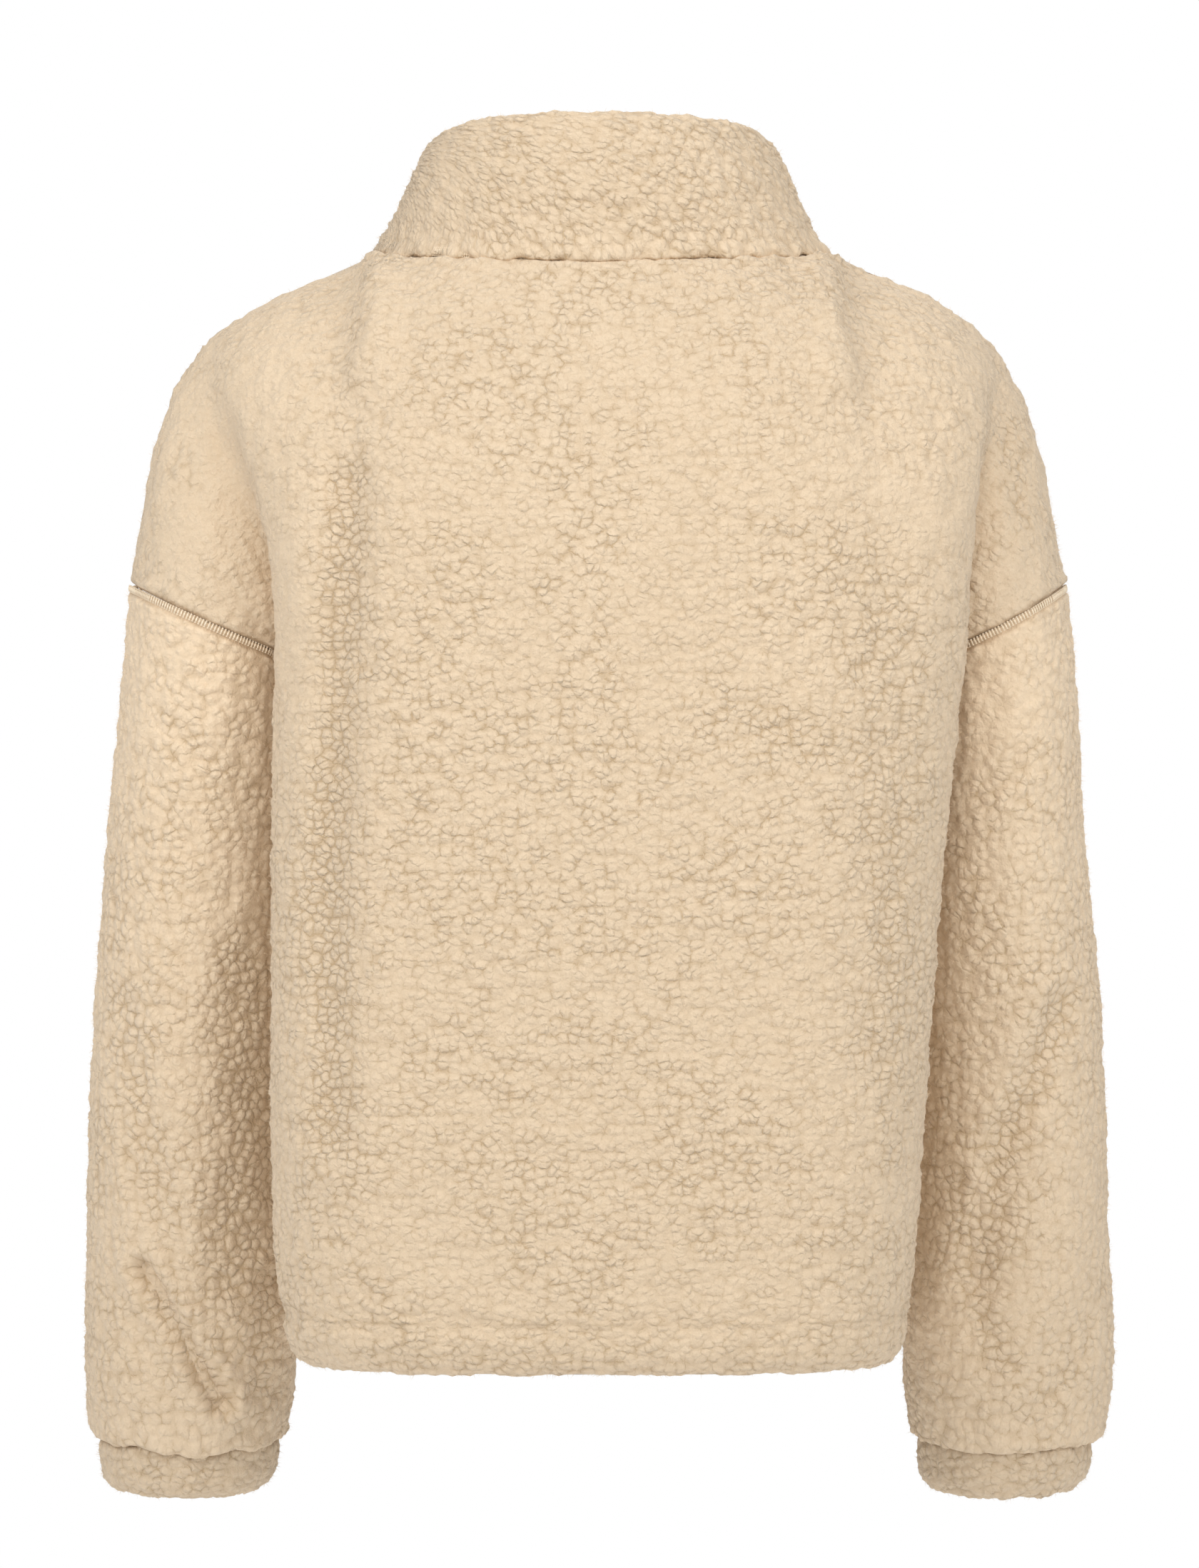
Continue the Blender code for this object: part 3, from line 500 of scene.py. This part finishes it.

# where, which face (1 is the front), places in mm across and up, width, depth, how tight its curls are, which
# also deepens the painted shade in their crevices
creases = (
    ("back", -1, ((-136, -120), (-142, -240), (-147, -330), (-143, -470)), 12, 3.8, 0.9),
    ("back", -1, ((150, -150), (157, -330), (150, -420)), 18, 1.2, 0.35),
    ("back", -1, ((227, -88), (232, -130)), 8, 2.0, 0.5),
    ("back", -1, ((-122, -2), (-124, -30), (-128, -62)), 11, -3.4, 0.0),
    ("back", -1, ((124, -2), (127, -30), (130, -62)), 11, -3.4, 0.0),
    ("back", -1, ((-236, -80), (-226, -120)), 9, 1.2, 0.2),
    ("back", -1, ((-60, -480), (10, -492), (66, -484)), 14, 1.1, 0.2),
    ("back", -1, ((88, -250), (132, -268), (168, -262)), 11, 1.3, 0.4),
    ("sleeve_left", -1, ((-199, -380), (-195, -470), (-203, -560)), 14, 2.2, 0.7),
    ("sleeve_left", -1, ((-264, -400), (-244, -520)), 9, 1.8, 0.4),
    ("sleeve_left", -1, ((-254, -552), (-238, -580), (-223, -605), (-211, -627)), 5.5, 7.5, 1.0),
    ("sleeve_left", -1, ((-184, -560), (-190, -590), (-187, -622)), 7, 2.4, 0.5),
    ("sleeve_left", -1, ((-236, -250), (-214, -276), (-196, -284)), 8, 1.2, 0.3),
    ("sleeve_right", -1, ((256, -405), (221, -486), (213, -556)), 9, 3.8, 0.6),
    ("sleeve_right", -1, ((196, -505), (206, -560), (222, -606)), 9, 2.0, 0.5),
    ("sleeve_right", -1, ((240, -262), (222, -280), (206, -288)), 8, 1.0, 0.3),
    ("front_left", 1, ((-122, -150), (-130, -260), (-124, -390)), 13, 2.4, 0.5),
    ("front_left", 1, ((-60, -430), (-96, -470), (-128, -482)), 11, 1.6, 0.3),
    ("front_right", 1, ((118, -130), (124, -230)), 11, 1.8, 0.4),
    ("front_right", 1, ((142, -320), (128, -430), (134, -500)), 15, 2.2, 0.5),
    ("sleeve_left", 1, ((-214, -240), (-230, -330)), 10, 2.2, 0.4),
    ("sleeve_left", 1, ((-250, -420), (-226, -500), (-222, -590)), 10, 2.4, 0.5),
    ("sleeve_right", 1, ((210, -300), (232, -350), (246, -380)), 9, 2.0, 0.4),
    ("sleeve_right", 1, ((240, -450), (228, -540), (232, -600)), 11, 2.2, 0.5),
)


def smoothStep(value, low, high):
    t = min(1.0, max(0.0, (value - low) / (high - low)))
    return t * t * (3 - 2 * t)


def seamPress(name, place):
    # how far the seams near a place press the pile down, how much of it stands, and how much painted shade
    # darkens its valley
    lift, stand, seamShade = 0.0, 1.0, 0.0
    for seam, (bare, reach, depth, puff, uneven) in valleys.items():
        dark = darkest[seam]
        if seam == "armhole" and name.startswith("sleeve"):
            # the ladder lies on the sleeve's side, on bare cloth that gets little painted shade
            dark = darkest["ladder"]
        elif seam == "armhole":
            bare, reach, depth, puff = aboveLadder
        if seam == "hem":
            far = abs(place.z - hemLine) / mm if sheets[name]["slot"] == "fleece_body" else math.inf
        else:
            far = seamTrees[seam].find(place)[2] / mm
        if far > reach * 3:
            continue
        change = 1 + uneven * 2.2 * noise.noise(place / (9 * mm))
        down = 1 - smoothStep(far, bare + 0.8, reach)
        rise = smoothStep(far, bare, reach) * (1 - smoothStep(far, reach, reach * 2.6))
        lift += (-depth * down + puff * rise) * change
        stand = min(stand, max(smoothStep(far, bare, reach * 0.8), 0.0 if seam == "armhole" else 0.4))
        seamShade = max(seamShade, (1 - smoothStep(far, bare * 0.7, bare + 1.6)) * min(1.0, dark * change))
    return lift, stand, seamShade


def creasePress(name, place, way):
    lift, tight = 0.0, 0.0
    for piece, face, places, width, depth, curled in creases:
        if piece != name or way.y * face < -0.3:
            continue
        here = Vector((place.x, place.z)) / mm
        far = math.inf
        for a, b in zip(places, places[1:]):
            start, run = Vector(a), Vector(b) - Vector(a)
            t = min(1.0, max(0.0, (here - start).dot(run) / run.length_squared))
            far = min(far, (here - start - run * t).length)
        if far > width * 3.2:
            continue
        change = 1 + 0.5 * noise.noise(place / (30 * mm))
        core = math.exp(-(far / width) ** 2)
        lift += depth * change * (0.4 * math.exp(-((far - 1.8 * width) / width) ** 2) - core)
        tight = max(tight, curled * core * change)
    # on the shoulders and upper sleeves the pile is calmer, with less relief and less painted shade in its
    # crevices
    calm = 0.5 * smoothStep(place.z, -0.36, -0.1) * smoothStep(abs(place.x), 0.1, 0.19)
    return lift, min(1.0, tight) - calm * (0.7 if place.x > 0 else 1.0)


def seamRoll(name, place):
    # the eased sleeve bags over its cuff, most behind and before, and the collar's pile over the neck seam
    if name.startswith("sleeve"):
        far = seamTrees["cuff"].find(place)[2] / mm
        if far > 22:
            return Vector()
        out = Vector((place.x - math.copysign(sleeveAxis[0], place.x), place.y - 0.055, 0)).normalized()
        roll = smoothStep(far, 0.3, 4.0) * (1 - smoothStep(far, 6.0, 21.0))
        roll *= 1 + 0.6 * noise.noise(place / (20 * mm))
        return (out * 2.4 - Vector((0, 0, 0.6 + 5.4 * abs(out.y) ** 1.5))) * (roll * mm)
    if name.startswith("cuff"):
        far = seamTrees["cuff"].find(place)[2] / mm
        roll = smoothStep(far, 0.2, 1.6) * (1 - smoothStep(far, 2.5, 9.0))
        return Vector((0, 0, 2.6 * roll * mm))
    if name == "collar":
        far = seamTrees["collar"].find(place)[2] / mm
        if far > 12:
            return Vector()
        out = Vector((place.x, place.y - 0.01, 0)).normalized()
        roll = smoothStep(far, 0.1, 1.6) * (1 - smoothStep(far, 2.6, 11.0))
        roll *= 1 + 0.9 * noise.noise(place / (10 * mm))
        return (out * 1.3 - Vector((0, 0, 3.8))) * (max(0.35, roll) * smoothStep(far, 0.1, 1.0) * mm)
    return Vector()


def evaluated(mesh, name, *modifiers):
    # a copy of a mesh put through modifiers
    if isinstance(mesh, bpy.types.Mesh):
        data = mesh.copy()
    else:
        data = bpy.data.meshes.new(name)
        mesh.to_mesh(data)
    work = added(name, data)
    for kind, settings in modifiers:
        modifier = work.modifiers.new(kind, kind)
        for key, value in settings.items():
            setattr(modifier, key, value)
    bpy.context.view_layer.update()
    shaped = bpy.data.meshes.new_from_object(work.evaluated_get(bpy.context.evaluated_depsgraph_get()))
    bpy.data.objects.remove(work)
    bpy.data.meshes.remove(data)
    return shaped


def pileSides(name, face):
    # both sides of collar and cuffs, and the turned-up hem inside, show pile
    if face.material_index == seamRim:
        return False
    if name == "collar" or name.startswith("cuff"):
        return True
    turnedUp = not name.startswith("sleeve") and face.calc_center_median().z < hemLine
    return face.material_index != inside or turnedUp


def cutLine(mesh, start, edge):
    # marks a straight run of edges, along which a tube is cut to lie flat
    while edge is not None:
        edge.seam = True
        start = edge.other_vert(start)
        faces = set(edge.link_faces)
        onward = [e for e in start.link_edges if e is not edge and not faces & set(e.link_faces)]
        edge = onward[0] if len(onward) == 1 and len(start.link_edges) == 4 and not onward[0].seam else None


mapGap = 700   # mm between the maps of two pieces, so that no two show the same curls
# the height above which a tube's upper sewn edge lies, where the line that opens it starts
cutFrom = {"sleeve_left": -0.4, "sleeve_right": -0.4, "cuff_left": -0.66, "cuff_right": -0.66}


def clothMap(name, mesh):
    # a flat map of the cloth in mm, with the up direction along V
    single = not (name == "collar" or name.startswith("cuff"))
    for edge in mesh.edges:
        labels = {f.material_index for f in edge.link_faces}
        edge.seam = seamRim in labels or (single and labels == {rim, inside})
    if name.startswith(("sleeve", "cuff")):
        for side in (outside, inside):
            ring = [
                v for v in mesh.verts
                if {seamRim, side} <= {f.material_index for f in v.link_faces} and v.co.z > cutFrom[name]
            ]
            start = min(ring, key=lambda v: abs(v.co.x))
            edge = next(e for e in start.link_edges if all(f.material_index == side for f in e.link_faces))
            cutLine(mesh, start, edge)
    data = bpy.data.meshes.new(name)
    mesh.to_mesh(data)
    work = added(name, data)
    data.uv_layers.new(name="clothMap")
    bpy.context.view_layer.objects.active = work
    work.select_set(True)
    bpy.ops.object.mode_set(mode="EDIT")
    bpy.ops.mesh.select_all(action="SELECT")
    bpy.ops.uv.unwrap(method="MINIMUM_STRETCH", iterations=20, margin=0.0)
    bpy.ops.object.mode_set(mode="OBJECT")
    mesh.clear()
    mesh.from_mesh(data)
    bpy.data.objects.remove(work)
    bpy.data.meshes.remove(data)
    layer = mesh.loops.layers.uv["clothMap"]
    shown = [f for f in mesh.faces if f.material_index == outside]
    real = sum(f.calc_area() for f in shown)
    flat = 0.0
    for face in shown:
        spots = [l[layer].uv for l in face.loops]
        flat += abs(sum(a.cross(b) for a, b in zip(spots, spots[1:] + spots[:1]))) / 2
    # the direction on the map in which the cloth rises, face by face
    up, mean = Vector((0, 0)), Vector((0, 0))
    for face in shown:
        spot = sum((l[layer].uv for l in face.loops), Vector((0, 0))) / len(face.loops)
        middle = face.calc_center_median()
        mean += spot / len(shown)
        if middle.y < 0.02:
            for loop in face.loops:
                up += (loop[layer].uv - spot) * (loop.vert.co.z - middle.z)
    turn = math.pi / 2 - math.atan2(up.y, up.x)
    scale = math.sqrt(real / flat) / mm
    wide, tall = sheets[name].get("curl", (1.0, 1.0))
    for face in mesh.faces:
        for loop in face.loops:
            spot = (loop[layer].uv - mean) * scale
            loop[layer].uv = (
                (spot.x * math.cos(turn) - spot.y * math.sin(turn)) * wide + mapGap * list(sheets).index(name),
                (spot.x * math.sin(turn) + spot.y * math.cos(turn)) * tall
            )
    print(name, "laid flat, one unit of the map is", round(scale), "mm")


def clothPiece(name, look, settings):
    mesh = shells[name]
    long = [
        e for e in mesh.edges
        if e.calc_length() > settings["long"] * mm and any(f.material_index == outside for f in e.link_faces)
    ]
    bmesh.ops.subdivide_edges(mesh, edges=long, cuts=1, use_grid_fill=True)
    clothMap(name, mesh)
    softened = evaluated(mesh, name, ("SUBSURF", {"levels": 1, "render_levels": 1}))
    mesh.free()
    fine = bmesh.new()
    fine.from_mesh(softened)
    stand, lift, fold, seamShade = (fine.verts.layers.float.new(key) for key in ("stand", "lift", "fold", "seamShade"))
    outward = fine.verts.layers.float_vector.new("outward")
    edges = list({e for f in fine.faces if pileSides(name, f) for e in f.edges})
    bmesh.ops.subdivide_edges(fine, edges=edges, cuts=settings["cuts"], use_grid_fill=True)
    pileFaces = [f for f in fine.faces if pileSides(name, f)]
    pileVerts = {v for f in pileFaces for v in f.verts}
    held = {v for f in fine.faces if f.material_index == seamRim for v in f.verts}
    loose = [v for v in pileVerts if v not in held]
    for turn in range(3):
        bmesh.ops.smooth_vert(fine, verts=loose, factor=0.5, use_axis_x=True, use_axis_y=True, use_axis_z=True)
    fine.normal_update()
    ways = {v: Vector() for v in pileVerts}
    for face in pileFaces:
        push = face.normal * face.calc_area()
        for vert in face.verts:
            ways[vert] += push
    for vert, way in ways.items():
        way.normalize()
        vert[outward] = way
        # seamPress also gives the painted shade of the seam valleys
        down, vert[stand], vert[seamShade] = seamPress(name, vert.co)
        hollow, vert[fold] = creasePress(name, vert.co, way)
        vert[lift] = down + hollow
    for vert in loose:
        vert.co += seamRoll(name, vert.co)
    for face in fine.faces:
        face.material_index = 0 if pileSides(name, face) else 1
        face.smooth = True
    data = evaluated(fine, name, ("NODES", {"node_group": relief}))
    fine.free()
    fuzz = added(look + "Fibres", evaluated(data, look + "Fibres", ("NODES", {"node_group": scatter})))
    fuzz.data.materials.clear()
    fuzz.data.materials.append(fibres[settings["slot"]])
    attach(fuzz, "garment")
    sewing.setdefault(name, []).append(fuzz)
    print(fuzz.name, "made,", triangles(fuzz.data), "triangles")
    piece = added(look, data)
    data.materials.clear()
    data.materials.append(piles[settings["slot"]])
    data.materials.append(knitBacking)
    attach(piece, "garment")
    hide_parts(name)
    print(look, "made,", triangles(data), "triangles")


def seamPath(name, others):
    # a sewn edge in order round its middle, with the way out of the cloth at each place
    ring = [
        v for v in outerVerts(name) if min(outers[other].find(v.co)[2] for other in others) < sewn
    ]
    middle = sum((v.co for v in ring), Vector()) / len(ring)
    path = []
    for vert in ring:
        way = sum((f.normal for f in vert.link_faces if f.material_index == outside), Vector())
        path.append((math.atan2(vert.co.y - middle.y, vert.co.x - middle.x), vert.co.copy(), way.normalized()))
    return [(place, way) for turn, place, way in sorted(path, key=lambda p: p[0])]


def evenly(path, step):
    # places along a path at even steps, each with the way along it and the way out
    spots = []
    left = 0.0
    for (a, wayA), (b, wayB) in zip(path, path[1:] + path[:1]):
        run = (b - a).length
        if run < 0.01 * mm:
            continue
        while left < run:
            t = left / run
            spots.append((a.lerp(b, t), (b - a).normalized(), wayA.lerp(wayB, t).normalized()))
            left += step
        left -= run
    return spots


def threadMaterial():
    made, tree, shader = newMaterial("sewing thread")
    place = node(tree, "ShaderNodeTexCoord").outputs["Object"]
    strand = node(tree, "ShaderNodeTexNoise", {"Vector": place, "Scale": 2600.0, "Detail": 2.0}).outputs[0]
    colour = mixed(tree, ramp(tree, strand, 0.3, 0.7), (0.80, 0.65, 0.46, 1), (0.96, 0.83, 0.64, 1))
    tree.links.new(colour, shader.inputs["Base Color"])
    bump = node(tree, "ShaderNodeBump", {"Height": strand, "Strength": 0.6, "Distance": 0.2 * mm})
    tree.links.new(bump.outputs[0], shader.inputs["Normal"])
    shader.inputs["Roughness"].default_value = 0.6
    shader.inputs["Sheen Weight"].default_value = 0.2
    return made


def stitching(look, path, settings):
    # a ladder of short threads across a seam, with a line of stitches along each side
    mesh = bmesh.new()
    low, high = settings.get("between", (-1.0, 1.0))
    for place, along, out in evenly(path, settings["step"] * mm):
        if not low < place.x < high or ("between" in settings and place.y > 0):
            continue
        place = place + Vector((0, 0, settings.get("raise", 0.0) * mm))
        across = out.cross(along).normalized()
        out = along.cross(across)
        sunk = place - out * settings["sink"] * mm
        parts = [(sunk + out * 0.15 * mm, (settings["half"], settings["rung"], 0.42))]
        for side in (-1, 1):
            aside = across * (side * settings["half"] * mm)
            parts.append((sunk + aside, (0.36, settings["step"] * 0.4, 0.42)))
        for spot, sizes in parts:
            frameOf = Matrix((across, along, out)).transposed().to_4x4()
            shape = Matrix.Translation(spot) @ frameOf @ Matrix.Diagonal((*[size * mm for size in sizes], 1))
            bmesh.ops.create_uvsphere(mesh, u_segments=6, v_segments=4, radius=1.0, matrix=shape)
    for face in mesh.faces:
        face.smooth = True
    piece = added(look, meshData(mesh, look))
    piece.data.materials.append(thread)
    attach(piece, "garment")
    print(look, "made,", triangles(piece.data), "triangles")
    return piece


thread = threadMaterial()
ladder = {"step": 1.9, "half": 1.6, "rung": 0.62, "sink": -0.5, "slot": "fleece_sleeve", "raise": -1.6}
overlock = {
    "step": 1.3, "half": 2.2, "rung": 0.44, "sink": -0.9, "slot": "fleece_collar", "raise": 1.2,
    "between": (-0.099, -0.07),    # m, the stretch at the left of the neck where it shows
}
stitched = (
    ("sleeve_left", "armholeStitchesLeft", ("back", "front_left"), ladder),
    ("sleeve_right", "armholeStitchesRight", ("back", "front_right"), ladder),
    ("collar", "collarStitches", ("back", "front_left", "front_right"), overlock),
)
sewing = {}
for name, look, others, settings in stitched:
    sewing[name] = [stitching(look, seamPath(name, others), settings)]

for name, look in {
    "back": "fleeceBack", "front_left": "fleeceFrontLeft", "front_right": "fleeceFrontRight",
    "sleeve_left": "fleeceSleeveLeft", "sleeve_right": "fleeceSleeveRight",
    "cuff_left": "fleeceCuffLeft", "cuff_right": "fleeceCuffRight", "collar": "fleeceCollar",
}.items():
    clothPiece(name, look, sheets[name])


def metalMaterial(name, colour, rough, metallic=1.0):
    made, tree, shader = newMaterial(name)
    place = node(tree, "ShaderNodeTexCoord").outputs["Object"]
    brushed = node(
        tree, "ShaderNodeVectorMath", {0: place, 1: (300.0, 4200.0, 4200.0)}, operation="MULTIPLY"
    ).outputs[0]
    grain = node(tree, "ShaderNodeTexNoise", {"Vector": brushed, "Scale": 1.0, "Detail": 2.0}).outputs[0]
    worn = node(tree, "ShaderNodeTexNoise", {"Vector": place, "Scale": 420.0, "Detail": 3.0}).outputs[0]
    tone = mixed(tree, ramp(tree, worn, 0.3, 0.7), (*[c * 0.82 for c in colour], 1), (*colour, 1))
    tree.links.new(tone, shader.inputs["Base Color"])
    tree.links.new(ramp(tree, worn, 0.3, 0.7, rough, rough + 0.14), shader.inputs["Roughness"])
    bump = node(tree, "ShaderNodeBump", {"Height": grain, "Strength": 0.25, "Distance": 0.03 * mm})
    tree.links.new(bump.outputs[0], shader.inputs["Normal"])
    shader.inputs["Metallic"].default_value = metallic
    return made


def tapeMaterial():
    made, tree, shader = newMaterial("woven zip tape")
    place = node(tree, "ShaderNodeTexCoord").outputs["Object"]
    split = node(tree, "ShaderNodeSeparateXYZ", {0: place})
    waves = []
    for axis, size in ((0, 0.55), (2, 0.62)):
        waves.append(maths(tree, "SINE", product(tree, split.outputs[axis], math.tau / (size * mm))))
    weave = ramp(tree, product(tree, *waves), -1.0, 1.0)
    colour = mixed(tree, weave, (0.6, 0.47, 0.31, 1), (0.76, 0.63, 0.45, 1))
    tree.links.new(colour, shader.inputs["Base Color"])
    bump = node(tree, "ShaderNodeBump", {"Height": weave, "Strength": 0.7, "Distance": 0.15 * mm})
    tree.links.new(bump.outputs[0], shader.inputs["Normal"])
    shader.inputs["Roughness"].default_value = 0.8
    shader.inputs["Sheen Weight"].default_value = 0.15
    return made


def dress(name, material):
    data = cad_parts[name].data
    data.materials.clear()
    data.materials.append(material)


def zipTeeth():
    # moulded teeth from the two tapes, one by one, along the front of the closed chain
    chain = bmesh.new()
    chain.from_mesh(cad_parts["zip_chain"].data)
    front = BVHTree.FromBMesh(chain)
    heights = [v.co.z for v in chain.verts]
    chain.free()
    mesh = bmesh.new()
    height, side = min(heights) + tooth["ends"] * mm, 1
    while height < max(heights) - tooth["ends"] * mm:
        hit, normal = front.ray_cast(Vector((0, 0.5, height)), Vector((0, -1, 0)))[:2]
        height += tooth["apart"] * mm
        side = -side
        if hit is None:
            continue
        up = Vector((1, 0, 0)).cross(normal).normalized()
        frameOf = Matrix((Vector((1, 0, 0)), up, normal)).transposed().to_4x4()
        spot = hit + Vector((side * tooth["aside"] * mm, 0, 0)) - normal * tooth["sink"] * mm
        shape = Matrix.Diagonal((*[size * mm for size in tooth["size"]], 1))
        bmesh.ops.create_cube(mesh, size=1.0, matrix=Matrix.Translation(spot) @ frameOf @ shape)
    bmesh.ops.bevel(mesh, geom=mesh.edges, offset=tooth["bevel"] * mm, segments=1, affect="EDGES", profile=0.5)
    for face in mesh.faces:
        face.smooth = True
    piece = added("zipTeeth", meshData(mesh, "zipTeeth"))
    piece.data.materials.append(plastic)
    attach(piece, "garment")
    print("zipTeeth made,", triangles(piece.data), "triangles")


tooth = {"apart": 1.3, "aside": 0.75, "size": (2.3, 1.0, 1.1), "ends": 1.5, "sink": 0.35, "bevel": 0.22}
plastic = metalMaterial("moulded teeth", (0.72, 0.585, 0.41), 0.42, metallic=0.0)
satin = metalMaterial("satin metal", (0.45, 0.43, 0.39), 0.45)
tape = tapeMaterial()
for name in ("zip_tape_left", "zip_tape_right"):
    dress(name, tape)
dress("zip_chain", plastic)
for name in ("zip_box", "zip_slider", "zip_pull"):
    dress(name, satin)
zipTeeth()
print("zip dressed")


def stageFloor(height=-0.95, reach=1.6):
    mesh = bmesh.new()
    bmesh.ops.create_circle(mesh, cap_ends=True, segments=96, radius=reach)
    bmesh.ops.translate(mesh, verts=mesh.verts, vec=(0, 0, height))
    floor = added("floor", meshData(mesh, "floor"))
    pale, tree, shader = newMaterial("pale floor")
    shader.inputs["Base Color"].default_value = (0.98, 0.98, 0.98, 1)
    shader.inputs["Roughness"].default_value = 0.9
    shader.inputs["Specular IOR Level"].default_value = 0.1
    floor.data.materials.append(pale)


def softLight(name, place, aim, size, watts):
    data = bpy.data.lights.new(name, "AREA")
    data.shape, data.size, data.energy = "DISK", size, watts
    lamp = added(name, data)
    lamp.location = place
    lamp.rotation_euler = (Vector(aim) - Vector(place)).to_track_quat("-Z", "Y").to_euler()


sky = 0.37
studio = {  # place, the height that it aims at, size in m, watts
    "keyLight": ((-2.3, -2.1, 1.2), -0.3, 1.5, 41),
    "fillLight": ((2.3, -2.1, 1.0), -0.3, 2.0, 34),
    "topLight": ((0.1, -1.9, 2.3), -0.2, 2.0, 28),
    "nearLight": ((-0.2, -3.0, 0.7), -0.3, 1.2, 15),
    "frontLight": ((0.3, 2.6, 0.9), -0.3, 2.0, 56),
}
stageFloor()
world = bpy.data.worlds.new("studio") if bpy.context.scene.world is None else bpy.context.scene.world
bpy.context.scene.world = world
world.use_nodes = True
backdrop = world.node_tree.nodes["Background"]
backdrop.inputs["Color"].default_value = (1, 1, 1, 1)
seen = node(world.node_tree, "ShaderNodeLightPath").outputs["Is Camera Ray"]
strength = ramp(world.node_tree, seen, 0.0, 1.0, sky, 1.0, soft=False)
world.node_tree.links.new(strength, backdrop.inputs["Strength"])
for name, (place, height, size, watts) in studio.items():
    softLight(name, place, (0, 0, height), size, watts)
bpy.context.scene.view_settings.view_transform = "Standard"

cameraData = bpy.data.cameras.new("camera")
cameraData.sensor_fit, cameraData.sensor_width, cameraData.lens = "HORIZONTAL", 36, 173
camera = added("camera", cameraData)
camera.location = (-0.0004, -3.2, -0.2832)
camera.rotation_euler = (math.pi / 2, 0, 0)
bpy.context.scene.camera = camera
print("stage, light and camera set")
